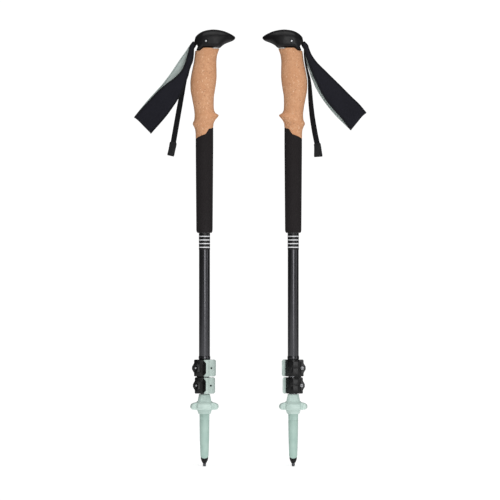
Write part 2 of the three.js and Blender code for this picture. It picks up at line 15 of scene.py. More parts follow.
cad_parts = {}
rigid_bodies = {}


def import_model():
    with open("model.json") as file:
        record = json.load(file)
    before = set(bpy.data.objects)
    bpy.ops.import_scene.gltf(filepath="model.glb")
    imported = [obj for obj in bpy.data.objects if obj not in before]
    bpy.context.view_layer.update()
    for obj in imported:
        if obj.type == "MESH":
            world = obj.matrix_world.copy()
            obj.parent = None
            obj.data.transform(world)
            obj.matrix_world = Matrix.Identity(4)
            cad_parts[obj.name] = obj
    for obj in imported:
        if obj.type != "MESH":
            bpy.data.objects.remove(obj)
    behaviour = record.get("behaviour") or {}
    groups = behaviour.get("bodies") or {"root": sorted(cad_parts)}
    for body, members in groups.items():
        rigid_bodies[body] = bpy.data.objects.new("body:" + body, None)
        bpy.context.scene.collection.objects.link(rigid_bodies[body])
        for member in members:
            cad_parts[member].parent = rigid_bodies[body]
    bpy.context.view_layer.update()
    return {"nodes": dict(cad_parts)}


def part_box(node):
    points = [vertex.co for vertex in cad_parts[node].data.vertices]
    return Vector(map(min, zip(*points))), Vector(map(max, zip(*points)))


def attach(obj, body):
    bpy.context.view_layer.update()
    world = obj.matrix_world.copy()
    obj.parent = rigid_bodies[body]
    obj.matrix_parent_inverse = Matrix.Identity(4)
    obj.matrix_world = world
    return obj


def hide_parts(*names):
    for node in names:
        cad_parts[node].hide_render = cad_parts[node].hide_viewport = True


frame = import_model()
scene = bpy.context.scene
SIDES = ("left", "right")
MM = 0.001
TAU = 2 * math.pi


# ---------------------------------------------------------------- placing
def pole_frame(side):
    """From millimetres in a pole's own frame to metres in the row frame."""
    low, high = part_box(f"{side}_upper_tube")
    centre = (low + high) / 2
    at = Matrix.Translation((centre.x, centre.y, 0))
    turn = Matrix.Rotation(0 if side == "left" else math.pi, 4, "Z")
    return at @ turn @ Matrix.Scale(MM, 4)


PLACE = {side: pole_frame(side) for side in SIDES}


def put(mesh, name, side, body, material, stands_for=(), slot=None, sharp=35, own=False):
    """Shows a copy of a shape on one pole, riding on that pole's body."""
    data = mesh if own else mesh.copy()
    data.name = f"{side}_{name}"
    data.transform(PLACE[side])
    for m in material if isinstance(material, (list, tuple)) else [material]:
        data.materials.append(m)
    data.shade_smooth()
    data.set_sharp_from_angle(angle=math.radians(sharp))
    obj = bpy.data.objects.new(f"{side}_{name}", data)
    scene.collection.objects.link(obj)
    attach(obj, f"{side}_{body}")
    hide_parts(*[f"{side}_{node}" for node in stands_for])
    return obj


# ---------------------------------------------------------------- curves
def smooth(xs, ys, at):
    """A curve through the points that doesn't overshoot them (monotone cubic)."""
    xs, ys, at = (np.asarray(v, float) for v in (xs, ys, at))
    h, d = np.diff(xs), np.diff(ys) / np.diff(xs)
    m = np.zeros(len(xs))
    m[0], m[-1] = d[0], d[-1]
    for i in range(1, len(xs) - 1):
        if d[i - 1] * d[i] > 0:
            w1, w2 = 2 * h[i] + h[i - 1], h[i] + 2 * h[i - 1]
            m[i] = (w1 + w2) / (w1 / d[i - 1] + w2 / d[i])
    at = np.clip(at, xs[0], xs[-1])
    i = np.clip(np.searchsorted(xs, at, side="right") - 1, 0, len(xs) - 2)
    t = (at - xs[i]) / h[i]
    return (
        ys[i] * (1 + 2 * t) * (1 - t) ** 2
        + m[i] * h[i] * t * (1 - t) ** 2
        + ys[i + 1] * t * t * (3 - 2 * t)
        + m[i + 1] * h[i] * t * t * (t - 1)
    )


def fillet(points, radius, steps=4, closed=True):
    """Rounds the corners of a flat outline. radius is one number or one for each corner."""
    points = [Vector(p) for p in points]
    count = len(points)
    radii = [radius] * count if isinstance(radius, (int, float)) else radius
    out = []
    for i, (p, r) in enumerate(zip(points, radii)):
        if r <= 0 or (not closed and i in (0, count - 1)):
            out.append(tuple(p))
            continue
        a, b = points[i - 1] - p, points[(i + 1) % count] - p
        corner = a.angle(b)
        cut = min(r / math.tan(corner / 2), 0.45 * a.length, 0.45 * b.length)
        start, end = p + a.normalized() * cut, p + b.normalized() * cut
        for k in range(steps + 1):
            t = k / steps
            out.append(tuple(start * (1 - t) ** 2 + p * 2 * t * (1 - t) + end * t * t))
    return out


def arc(cx, cy, r, start, end, steps):
    """Points on an arc, in degrees."""
    angles = [math.radians(start + (end - start) * i / steps) for i in range(steps + 1)]
    return [(cx + r * math.cos(a), cy + r * math.sin(a)) for a in angles]


# ---------------------------------------------------------------- meshes
def tidy(mesh, merge=1e-4):
    """Merges points that meet and turns every face outwards."""
    work = bmesh.new()
    work.from_mesh(mesh)
    bmesh.ops.remove_doubles(work, verts=work.verts, dist=merge)
    bmesh.ops.dissolve_degenerate(work, edges=work.edges, dist=merge / 10)
    bmesh.ops.recalc_face_normals(work, faces=work.faces)
    work.to_mesh(mesh)
    work.free()
    return mesh


def mesh_of(points, faces):
    mesh = bpy.data.meshes.new("shape")
    mesh.from_pydata([tuple(p) for p in points], [], faces)
    return mesh


def skin(rings, run=False, uv=None, paint=None):
    """Joins rings of equally many points into one skin with flat ends, or with its last ring joined to
    its first. uv(i, j) gives a texture place, and paint(j) the material of the strip from point j."""
    count, sides = len(rings), len(rings[0])
    faces, corners, kinds = [], [], []
    for i in range(count if run else count - 1):
        for j in range(sides):
            a, b, k = i * sides, (i + 1) % count * sides, (j + 1) % sides
            faces.append((a + j, a + k, b + k, b + j))
            corners.append(((i, j), (i, j + 1), (i + 1, j + 1), (i + 1, j)))
            kinds.append(paint(j) if paint else 0)
    if not run:
        last = (count - 1) * sides
        faces += [tuple(reversed(range(sides))), tuple(range(last, last + sides))]
        corners += [[(0, j) for j in reversed(range(sides))], [(count - 1, j) for j in range(sides)]]
        kinds += [0, 0]
    mesh = mesh_of([p for ring in rings for p in ring], faces)
    if paint:
        mesh.polygons.foreach_set("material_index", kinds)
    if uv:
        layer = mesh.uv_layers.new(name="UVMap")
        flat = [uv(*c) for face in corners for c in face]
        layer.data.foreach_set("uv", np.array(flat, np.float32).ravel())
    return tidy(mesh)


def turned(profile, sides=64, uv=None):
    """Turns an [radius, z] outline about Z: open outlines start and end on the axis."""
    run = profile[0][0] > 1e-6
    rings = [
        [(r * math.cos(TAU * j / sides), r * math.sin(TAU * j / sides), z) for j in range(sides)]
        for r, z in profile
    ]
    if run:
        return skin(rings, run=True, uv=uv)
    return skin(rings[1:-1], uv=uv)


def rod(r, low, high, chamfer=0.3, sides=48):
    """A round bar along Z with rounded ends."""
    outline = [(0, low), (r, low), (r, high), (0, high)]
    return turned(fillet(outline, chamfer, closed=False), sides)


def raised(outline, low, high):
    """A plan outline raised from one height to another."""
    rings = [[(x, y, z) for x, y in outline] for z in (low, high)]
    return skin(rings)


def crosswise(outline, start, end):
    """An [x, z] outline carried along Y."""
    return skin([[(x, y, z) for x, z in outline] for y in (start, end)])


def along_y(mesh, x, z):
    """Lays a shape made about Z along Y, through (x, z)."""
    mesh.transform(Matrix.Translation((x, 0, z)) @ Matrix.Rotation(-math.pi / 2, 4, "X"))
    return tidy(mesh)


def moved(mesh, x=0.0, y=0.0, z=0.0):
    mesh.transform(Matrix.Translation((x, y, z)))
    return mesh


def block(x, y, z):
    return raised([(x[0], y[0]), (x[1], y[0]), (x[1], y[1]), (x[0], y[1])], *z)


def modified(mesh, *modifiers):
    """The mesh after these modifiers, each a (type, settings)."""
    obj = bpy.data.objects.new("work", mesh)
    scene.collection.objects.link(obj)
    tools = []
    for kind, settings in modifiers:
        modifier = obj.modifiers.new(kind, kind)
        for key, value in settings.items():
            if isinstance(value, bpy.types.Mesh):
                value = bpy.data.objects.new("tool", value)
                scene.collection.objects.link(value)
                tools.append(value)
            setattr(modifier, key, value)
    bpy.context.view_layer.update()
    graph = bpy.context.evaluated_depsgraph_get()
    made = bpy.data.meshes.new_from_object(obj.evaluated_get(graph))
    for o in (obj, *tools):
        bpy.data.objects.remove(o)
    return made


def boolean(mesh, operation, *tools):
    settings = [
        ("BOOLEAN", {"operation": operation, "solver": "EXACT", "object": tool}) for tool in tools
    ]
    return modified(mesh, *settings)


def cut(mesh, *tools):
    return boolean(mesh, "DIFFERENCE", *tools)


def join(mesh, *others):
    return boolean(mesh, "UNION", *others)


def eased(mesh, width=0.35, segments=2, angle=32):
    """Rounds the sharp edges."""
    return modified(
        mesh,
        (
            "BEVEL",
            {
                "width": width,
                "segments": segments,
                "limit_method": "ANGLE",
                "angle_limit": math.radians(angle),
                "miter_outer": "MITER_ARC",
                "use_clamp_overlap": True,
            },
        ),
    )


def gathered(meshes):
    """Several shapes as one mesh, not merged."""
    work = bmesh.new()
    for mesh in meshes:
        work.from_mesh(mesh)
    made = bpy.data.meshes.new("shape")
    work.to_mesh(made)
    work.free()
    return made


# ---------------------------------------------------------------- materials
class Paint:
    """A node material: a shader whose constants are on its own sockets, with a texture for its colour,
    roughness and bump."""

    def __init__(self, name, roughness=0.5, metallic=0.0, **constants):
        self.material = bpy.data.materials.new(name)
        self.material.use_nodes = True
        self.tree = self.material.node_tree
        self.tree.nodes.clear()
        self.shader = self.add("ShaderNodeBsdfPrincipled", Roughness=roughness, Metallic=metallic)
        for key, value in constants.items():
            self.shader.inputs[key.replace("_", " ")].default_value = value
        output = self.add("ShaderNodeOutputMaterial")
        self.link(self.shader.outputs[0], output.inputs[0])
        place = self.add("ShaderNodeTexCoord")
        self.place, self.uv = place.outputs["Object"], place.outputs["UV"]

    def link(self, a, b):
        self.tree.links.new(a, b)

    def add(self, kind, settings=None, **inputs):
        node = self.tree.nodes.new(kind)
        for key, value in (settings or {}).items():
            setattr(node, key, value)
        for key, value in inputs.items():
            socket = node.inputs[int(key[1:]) if key[1:].isdigit() else key.replace("_", " ")]
            if isinstance(value, bpy.types.NodeSocket):
                self.link(value, socket)
            else:
                socket.default_value = value
        return node

    def math(self, operation, a, b=0.0, clamp=False):
        node = self.add("ShaderNodeMath", {"operation": operation, "use_clamp": clamp}, _0=a, _1=b)
        return node.outputs[0]

    def stretch(self, x=1.0, y=1.0, z=1.0, source=None):
        node = self.add("ShaderNodeMapping", Vector=source or self.place, Scale=(x, y, z))
        return node.outputs[0]

    def noise(self, scale, detail=3.0, roughness=0.55, at=None, distortion=0.0):
        node = self.add(
            "ShaderNodeTexNoise",
            Vector=at or self.place,
            Scale=scale,
            Detail=detail,
            Roughness=roughness,
            Distortion=distortion,
        )
        return node.outputs[0]

    def cells(self, scale, feature="F1", at=None, output="Distance", randomness=1.0):
        node = self.add(
            "ShaderNodeTexVoronoi",
            {"feature": feature},
            Vector=at or self.place,
            Scale=scale,
            Randomness=randomness,
        )
        return node.outputs[output]

    def ramp(self, value, low, high, start=0.0, end=1.0):
        """Maps value from low..high to start..end, held at both ends."""
        node = self.add("ShaderNodeMapRange", _0=value, _1=low, _2=high, _3=start, _4=end)
        return node.outputs[0]

    def mix(self, share, a, b):
        node = self.add("ShaderNodeMix", {"data_type": "RGBA"})
        for socket, value in ((0, share), (6, a), (7, b)):
            if isinstance(value, bpy.types.NodeSocket):
                self.link(value, node.inputs[socket])
            else:
                node.inputs[socket].default_value = value
        return node.outputs[2]

    def finish(self, colour=None, roughness=None, height=None, bump=0.3, distance=0.0004):
        if colour is not None:
            self.link(colour, self.shader.inputs["Base Color"])
        if roughness is not None:
            self.link(roughness, self.shader.inputs["Roughness"])
        if height is not None:
            node = self.add("ShaderNodeBump", Strength=bump, Distance=distance, Height=height)
            self.link(node.outputs[0], self.shader.inputs["Normal"])
        return self.material


def rgb(r, g, b):
    """A display colour, 0 to 255, as the linear colour a shader takes."""
    shares = (r / 255, g / 255, b / 255)
    linear = [c / 12.92 if c <= 0.04045 else ((c + 0.055) / 1.055) ** 2.4 for c in shares]
    return (*linear, 1.0)


def cork_material():
    """Pressed cork: fine granules, a few pale grains and small dark pits."""
    p = Paint("cork", roughness=0.8, Specular_IOR_Level=0.25)
    granules = p.cells(620, output="Color")
    shade = p.add("ShaderNodeSeparateColor", Color=granules).outputs[0]
    big = p.add("ShaderNodeSeparateColor", Color=p.cells(300, output="Color")).outputs[1]
    seams = p.cells(620, "DISTANCE_TO_EDGE")
    cloud = p.noise(38, 3)
    dark = p.ramp(p.noise(560, 4, 0.7), 0.625, 0.68)
    streak = p.ramp(p.noise(360, 3, 0.6, at=p.stretch(1, 1, 1.6)), 0.65, 0.69)
    pale = p.ramp(p.noise(330, 3, 0.6, at=p.stretch(1.5, 1.5, 0.8)), 0.64, 0.67)
    base = p.mix(p.ramp(shade, 0.1, 0.9), rgb(204, 149, 110), rgb(217, 165, 127))
    base = p.mix(p.ramp(big, 0.72, 0.95, 0.0, 0.5), base, rgb(226, 178, 140))
    base = p.mix(p.ramp(cloud, 0.35, 0.65, 0.0, 0.4), base, rgb(205, 148, 108))
    base = p.mix(p.ramp(seams, 0.0, 0.06, 0.2, 0.0), base, rgb(166, 110, 74))
    base = p.mix(p.math("MULTIPLY", pale, 0.75), base, rgb(243, 212, 180))
    base = p.mix(p.math("MULTIPLY", dark, 0.5), base, rgb(142, 88, 56))
    base = p.mix(p.math("MULTIPLY", streak, 0.65), base, rgb(124, 76, 48))
    rough = p.ramp(shade, 0, 1, 0.7, 0.88)
    pits = p.math("SUBTRACT", p.ramp(seams, 0.0, 0.07), p.math("ADD", dark, streak))
    return p.finish(base, rough, pits, 0.4, 0.0003)


def foam_material():
    p = Paint("foam", roughness=0.82, Specular_IOR_Level=0.2)
    grain = p.noise(900, 4, 0.7)
    patch = p.noise(45, 2)
    pores = p.cells(1100)
    base = p.mix(p.ramp(grain, 0.35, 0.7), rgb(22, 19, 20), rgb(40, 36, 37))
    base = p.mix(p.ramp(patch, 0.35, 0.7, 0.0, 0.5), base, rgb(32, 28, 29))
    height = p.math("ADD", p.math("MULTIPLY", grain, 0.5), p.ramp(pores, 0.0, 0.35))
    return p.finish(base, p.ramp(patch, 0.3, 0.7, 0.75, 0.9), height, 0.35, 0.00025)


def plastic_material(name, low, high, roughness, grain=1400, bump=0.12, **constants):
    """Moulded plastic: faint mottling, a fine spark-eroded grain, and roughness that varies with handling."""
    p = Paint(name, roughness=roughness, **constants)
    mottle, fine = p.noise(70, 3), p.noise(grain, 3, 0.6)
    base = p.mix(p.ramp(mottle, 0.3, 0.7), low, high)
    rough = p.ramp(p.noise(160, 3), 0.3, 0.7, roughness - 0.06, roughness + 0.07)
    return p.finish(base, rough, fine, bump, 0.0002)


def tube_material(name, low, high, metallic, roughness):
    """Anodised aluminium: fine draw lines along the tube and faint clouding."""
    p = Paint(name, roughness=roughness, metallic=metallic)
    lines = p.noise(420, 3, 0.6, at=p.stretch(1, 1, 0.012))
    cloud = p.noise(26, 3)
    base = p.mix(p.ramp(lines, 0.3, 0.7), low, high)
    base = p.mix(p.ramp(cloud, 0.35, 0.65, 0.0, 0.35), base, high)
    rough = p.ramp(lines, 0.3, 0.7, roughness - 0.05, roughness + 0.07)
    return p.finish(base, rough, lines, 0.08, 0.0001)


def scale_material():
    """The inner tubes: natural anodised aluminium with a printed scale of ticks down one side.
    The texture place is the share of a turn and the height in millimetres."""
    p = Paint("inner_tube", roughness=0.34, metallic=0.9)
    split = p.add("ShaderNodeSeparateXYZ", Vector=p.uv)
    turn, height = split.outputs[0], split.outputs[1]
    lines = p.noise(420, 3, 0.6, at=p.stretch(1, 1, 0.012))
    base = p.mix(p.ramp(lines, 0.3, 0.7), rgb(150, 151, 154), rgb(176, 177, 180))

    def every(step, width):
        within = p.math("FRACT", p.math("DIVIDE", height, step))
        return p.math("LESS_THAN", within, width / step)

    aside = p.math("ABSOLUTE", p.math("SUBTRACT", turn, 0.75))
    short = p.math("MULTIPLY", every(10, 0.7), p.math("LESS_THAN", aside, 0.045))
    long = p.math("MULTIPLY", every(50, 1.1), p.math("LESS_THAN", aside, 0.1))
    ink = p.math("MAXIMUM", short, long)
    rough = p.ramp(lines, 0.3, 0.7, 0.3, 0.42)
    return p.finish(p.mix(ink, base, rgb(34, 34, 36)), rough, lines, 0.06, 0.0001)


def band_material():
    """The dark band under the grip, with plain light rings round it."""
    p = Paint("printed_band", roughness=0.42, Specular_IOR_Level=0.4)
    bottom, pitch, half_ring = 318.3, 5.35, 0.7  # millimetres up the tube
    height = p.add("ShaderNodeSeparateXYZ", Vector=p.uv).outputs[1]
    row = p.math("FRACT", p.math("DIVIDE", p.math("SUBTRACT", height, bottom), pitch))
    from_middle = p.math("MULTIPLY", p.math("ABSOLUTE", p.math("SUBTRACT", row, 0.5)), pitch)
    ink = p.math("LESS_THAN", from_middle, half_ring)
    base = p.mix(p.ramp(p.noise(120, 3), 0.3, 0.7), rgb(9, 9, 10), rgb(16, 16, 18))
    return p.finish(p.mix(ink, base, rgb(222, 223, 225)), None, ink, 0.1, 0.0001)


def weave_material(name, low, high, pitch, rib=0.0, sheen=0.05, roughness=0.85):
    """Woven cloth. The texture place is in millimetres across and along the strap."""
    p = Paint(name, roughness=roughness, Sheen_Weight=sheen, Sheen_Roughness=0.4, Specular_IOR_Level=0.15)
    split = p.add("ShaderNodeSeparateXYZ", Vector=p.uv)
    across = p.math("MULTIPLY", split.outputs[0], math.pi / pitch)
    along = p.math("MULTIPLY", split.outputs[1], math.pi / pitch)
    over = p.math("MULTIPLY", p.math("SINE", across), p.math("SINE", along))
    height = p.ramp(over, -1.0, 1.0)
    if rib:
        ridge = p.math("ABSOLUTE", p.math("SINE", p.math("MULTIPLY", split.outputs[1], math.pi / rib)))
        height = p.math("ADD", p.math("MULTIPLY", height, 0.4), ridge)
    fuzz = p.noise(1500, 3, 0.7)
    base = p.mix(p.ramp(height, 0.1, 0.95), low, high)
    base = p.mix(p.ramp(fuzz, 0.4, 0.7, 0.0, 0.35), base, high)
    base = p.mix(p.ramp(p.noise(40, 2), 0.4, 0.7, 0.0, 0.3), base, low)
    return p.finish(base, None, p.math("ADD", height, p.math("MULTIPLY", fuzz, 0.4)), 0.5, 0.0003)


def metal_material(name, low, high, roughness, scratch=900):
    p = Paint(name, roughness=roughness, metallic=1.0)
    lines = p.noise(scratch, 3, 0.65, at=p.stretch(1, 0.15, 1))
    base = p.mix(p.ramp(lines, 0.3, 0.7), low, high)
    rough = p.ramp(p.noise(300, 3), 0.3, 0.7, roughness - 0.06, roughness + 0.1)
    return p.finish(base, rough, lines, 0.1, 0.0001)


LOOK = {
    "cork": cork_material(),
    "foam": foam_material(),
    "head": plastic_material(
        "head_plastic", rgb(12, 11, 13), rgb(18, 17, 19), 0.4, bump=0.1, Specular_IOR_Level=0.2
    ),
    "clamp": plastic_material(
        "clamp_plastic", rgb(8, 8, 9), rgb(14, 14, 15), 0.36, Specular_IOR_Level=0.24
    ),
    "tip": plastic_material(
        "tip_plastic", rgb(8, 8, 9), rgb(14, 14, 15), 0.5, bump=0.2, Specular_IOR_Level=0.2
    ),
    "plug": plastic_material("plug_plastic", rgb(22, 22, 24), rgb(32, 32, 34), 0.5, Specular_IOR_Level=0.3),
    "mint": plastic_material(
        "mint_plastic", rgb(151, 177, 168), rgb(163, 187, 178), 0.42, bump=0.08, Specular_IOR_Level=0.35
    ),
    "disc": plastic_material(
        "disc_plastic", rgb(170, 190, 183), rgb(184, 202, 195), 0.42, bump=0.08, Specular_IOR_Level=0.35
    ),
    "lever": plastic_material(
        "lever_plastic", rgb(162, 178, 172), rgb(175, 190, 184), 0.38, bump=0.06, Specular_IOR_Level=0.35
    ),
    "rubber": plastic_material(
        "rubber", rgb(14, 14, 16), rgb(24, 24, 26), 0.7, 900, 0.3, Specular_IOR_Level=0.25
    ),
    "tube": tube_material("upper_tube", rgb(60, 60, 62), rgb(80, 80, 83), 1.0, 0.3),
    "scale": scale_material(),
    "band": band_material(),
    # A pale plastic for the strip under the head: it paints the light that shows in the gap between cork and
    # head.
    "light_line": plastic_material("pale_light_line", rgb(236, 234, 230), rgb(246, 245, 241), 0.5),
    "black_steel": metal_material("black_steel", rgb(28, 28, 30), rgb(44, 44, 46), 0.45),
    "webbing": weave_material("webbing", rgb(7, 7, 8), rgb(22, 22, 25), 0.9, rib=1.5),
    "outer": weave_material("strap_outer", rgb(16, 16, 22), rgb(35, 35, 43), 0.6),
    "lining": weave_material("strap_lining", rgb(158, 172, 168), rgb(210, 219, 216), 1.2),
    "binding": weave_material("strap_binding", rgb(9, 9, 12), rgb(25, 25, 30), 0.7, rib=1.1),
    "piping": weave_material("strap_piping", rgb(176, 190, 186), rgb(214, 224, 221), 0.6),
    "thread": weave_material("thread", rgb(30, 31, 38), rgb(52, 54, 62), 0.4),
    "steel": metal_material("steel", rgb(92, 93, 95), rgb(124, 125, 127), 0.36),
    "rivet": metal_material("rivet", rgb(168, 169, 171), rgb(198, 199, 201), 0.3),
    "carbide": metal_material("carbide", rgb(68, 68, 72), rgb(98, 98, 102), 0.4),
}


# ---------------------------------------------------------------- grip
HEAD_FLOOR = 613.1
# x, top, underside, half width
HEAD_SECTIONS = np.array([
    [-14.6, 625.4, 613.6, 8.5],
    [-13.4, 628.6, 610.9, 11.4],
    [-10.8, 631.8, 609.4, 13.6],
    [-7, 634.8, 609.3, 15.2],
    [-1.5, 637.6, HEAD_FLOOR, 16.5],
    [6, 639.4, HEAD_FLOOR, 17.1],
    [13, 640, HEAD_FLOOR, 17.2],
    [19, 639.6, HEAD_FLOOR, 16.7],
    [22.6, 639, 613.4, 16.1],
    [26, 638.3, 616.2, 15.3],
    [31, 636.8, 619.3, 13.9],
    [36.5, 634.4, 621.5, 11.6],
    [41.5, 631.7, 623.5, 8],
    [44.2, 629.8, 625.6, 3.6],
])
HEAD_UNDERSIDE = np.array([[-30, 608], [-12.5, 609.2], [-7, 609.2], [-1.5, HEAD_FLOOR], [30, HEAD_FLOOR]])
HEAD_PIN = (2.3, 622.6)  # x and height of the strap's cross pin


def head_shape():
    sides = 72
    stations = np.concatenate([
        np.linspace(-14.6, -10.8, 9)[:-1],
        np.linspace(-10.8, 36.5, 52)[:-1],
        np.linspace(36.5, 44.2, 12),
    ])
    top, floor, half = (smooth(HEAD_SECTIONS[:, 0], HEAD_SECTIONS[:, c], stations) for c in (1, 2, 3))

    def ring(x, t, f, w):
        points = []
        under = float(np.interp(x, [-14, -9, 20, 30], [0.8, 0.45, 0.45, 0.8]))  # squarer over the cork
        for j in range(sides):
            a = TAU * j / sides
            c, s = math.cos(a), math.sin(a)
            squareness = 0.8 if s >= 0 else under
            y = w * math.copysign(abs(c) ** squareness, c)
            z = (t + f) / 2 + (t - f) / 2 * math.copysign(abs(s) ** squareness, s)
            points.append((x, y, z))
        return points

    rings = []
    for share, out in ((0.55, 0.75), (0.8, 0.6), (0.94, 0.25)):  # rounds the rear end
        m = (top[0] + floor[0]) / 2
        high, low = m + (top[0] - m) * share, m + (floor[0] - m) * share
        rings.append(ring(-14.6 - out, high, low, half[0] * share))
    rings += [ring(*row) for row in zip(stations, top, floor, half)]
    for share, out in ((0.75, 0.5), (0.4, 0.8)):  # and the beak
        m = (top[-1] + floor[-1]) / 2
        high, low = m + (top[-1] - m) * share, m + (floor[-1] - m) * share
        rings.append(ring(44.2 + out, high, low, half[-1] * share))
    body = skin(rings)
    slot = [(y, z) for y, z in fillet([(-7.6, 617.4), (7.6, 617.4), (7.6, 627.2), (-7.6, 627.2)], 1.6)]
    slot = skin([[(x, y, z) for y, z in slot] for x in (-30, 7)])
    # Under the slot the rear of the head is hollowed, where the straps turn down.
    rear = [(-30, 600), (-12.4, 600), (-11.8, 609.8), (-9.8, 614.4), (-11, 618), (-30, 618)]
    hollow = crosswise(rear, -30, 30)
    socket = rod(8.3, 600, 616.3, 0)
    pin_hole = along_y(rod(1.95, -25, 25, 0), *HEAD_PIN)
    return eased(cut(body, slot, hollow, socket, pin_hole), 0.4, 3, 50)


def head_pin_shape():
    """The strap's cross pin, with a small rivet end on each side."""
    near = [(0, -17.1), (1.15, -17.1), (1.15, -16.3), (1.75, -16.1)]
    outline = near + [(r, -y) for r, y in reversed(near)]
    outline = fillet(outline, [0, 0.5, 0.1, 0.1, 0.1, 0.1, 0.5, 0], 3, closed=False)
    return along_y(turned(outline, 32), *HEAD_PIN)


# height, reach to the rear, reach to the front, half width, slope of the section towards the beak
CORK_SECTIONS = np.array([
    [470, 12.9, 12.9, 12.9, 0.32],
    [490, 13.0, 12.9, 12.9, 0.32],
    [497, 13.6, 13.2, 13.1, 0.32],
    [502, 15.2, 15.6, 14.0, 0.32],
    [507.5, 17.2, 20.8, 16.4, 0.32],
    [513, 14.9, 15.9, 13.9, 0.32],
    [519, 14.5, 13.9, 13.3, 0.3],
    [528, 15.6, 13.6, 13.6, 0.2],
    [540, 18.0, 13.9, 14.6, 0.1],
    [552, 20.4, 15.5, 15.6, 0],
    [562, 20.7, 17.0, 15.9, 0],
    [572, 19.6, 17.8, 15.4, 0],
    [582, 17.7, 17.7, 14.7, 0],
    [592, 15.6, 17.5, 14.1, 0],
    [601, 14.4, 18.3, 14.0, 0],
    [608, 13.6, 20.4, 14.3, 0],
    [614, 12.6, 22.6, 14.6, 0],
])
CORK_FOOT = np.array([
    [-30, 473], [-11.7, 480.7], [-7.3, 483.2], [-2.9, 484.9], [1.5, 486.6], [3.6, 489.2],
    [5.9, 493.1], [7.6, 494.4], [10.3, 494.9], [13.2, 496.6], [30, 500],
])


def cork_point(height, angle):
    rear, front, half, slope = (
        float(smooth(CORK_SECTIONS[:, 0], CORK_SECTIONS[:, c], [height])[0]) for c in range(1, 5)
    )
    x = (front - rear) / 2 + (front + rear) / 2 * math.cos(angle)
    return x, half * math.sin(angle), height + slope * x


def height_where(angle, level, low, high):
    """The section height at which the cork's skin meets level(x), by halving."""
    for _ in range(28):
        middle = (low + high) / 2
        x, _, z = cork_point(middle, angle)
        low, high = (middle, high) if z < level(x) else (low, middle)
    return (low + high) / 2


def sleeve(sides, steps, bottom, top, point, bore, ease):
    """A tube whose ends follow bottom and top, one height for each angle, with eased edges."""
    angles = [TAU * j / sides for j in range(sides)]
    shares = np.linspace(0, 1, steps)
    skin_rows = [[point(b + (t - b) * s, a) for a, b, t in zip(angles, bottom, top)] for s in shares]

    def drawn_in(row, by, lift):
        out = []
        for x, y, z in row:
            r = math.hypot(x, y)
            out.append((x * (r - by) / r, y * (r - by) / r, z + lift))
        return out

    def at_bore(row):
        return [(bore * math.cos(a), bore * math.sin(a), z) for a, (_, _, z) in zip(angles, row)]

    first, last, part = skin_rows[0], skin_rows[-1], ease * 0.3
    rows = [at_bore(first), drawn_in(first, ease, 0), drawn_in(first, part, part)]
    rows += skin_rows[1:-1]
    rows += [drawn_in(last, part, -part), drawn_in(last, ease, 0), at_bore(last)]
    return skin(rows, run=True)


def cork_shape():
    sides = 120
    angles = [TAU * j / sides for j in range(sides)]

    def foot(x):
        return float(smooth(CORK_FOOT[:, 0], CORK_FOOT[:, 1], [x])[0])

    def lid(x):
        under = float(np.interp(x, HEAD_UNDERSIDE[:, 0], HEAD_UNDERSIDE[:, 1]))
        return under - 0.3 - 1.1 * max(0.0, min(1.0, (x - 10.5) / 3))

    bottom = [height_where(a, foot, 470, 520) for a in angles]
    top = [height_where(a, lid, 600, 614) for a in angles]
    return sleeve(sides, 150, bottom, top, cork_point, 8.3, 0.6)


def light_line_shape():
    """A thin pale strip between the cork and the head on the beak's side, standing in for the light that
    shows in that gap: painted light.
    """
    outline = []
    for k in range(25):
        a = math.radians(-58 + 116 * k / 24)
        x, y, _ = cork_point(611.5, a)
        r = math.hypot(x, y) - 0.12
        outline.append((r * x / math.hypot(x, y), r * y / math.hypot(x, y)))
    return raised([*outline, (9, 4), (9, -4)], 611.7, 613.0)


def foam_shape():
    sides = 120
    outline = np.array([[342, 9.8], [342.5, 10.9], [344, 11.6], [346.5, 12.0], [470, 12.9], [502, 12.9]])

    def point(z, a):
        r = float(np.interp(z, outline[:, 0], outline[:, 1]))
        return r * math.cos(a), r * math.sin(a), z

    angles = [TAU * j / sides for j in range(sides)]
    top = [float(smooth(CORK_FOOT[:, 0], CORK_FOOT[:, 1], [12.9 * math.cos(a)])[0]) - 0.3 for a in angles]
    low = list(np.linspace(342, 348, 9)[:-1])
    rings = [[point(z, a) for a in angles] for z in low]
    for s in np.linspace(0, 1, 60):
        rings.append([point(348 + (t - 348) * s, a) for a, t in zip(angles, top)])

    def at_bore(ring):
        return [(8.3 * math.cos(a), 8.3 * math.sin(a), z) for a, (_, _, z) in zip(angles, ring)]

    return skin([at_bore(rings[0]), *rings, at_bore(rings[-1])], run=True)


# ---------------------------------------------------------------- wrist strap
STRAP_PIVOT = Vector((-16, 0, 619.8))
STRAP_ANGLE = {"left": 32.2, "right": 35.2}
STRAP_LENGTH = {"left": 0.986, "right": 0.97}  # share of the tabled length
STRAP_LEAN = {"left": 1.27, "right": 1.5}  # share of the tabled lean
TAIL_PIVOT = Vector((-16.2, 0, 616.4))
TAIL_ANGLE = {"left": 4.2, "right": 0}
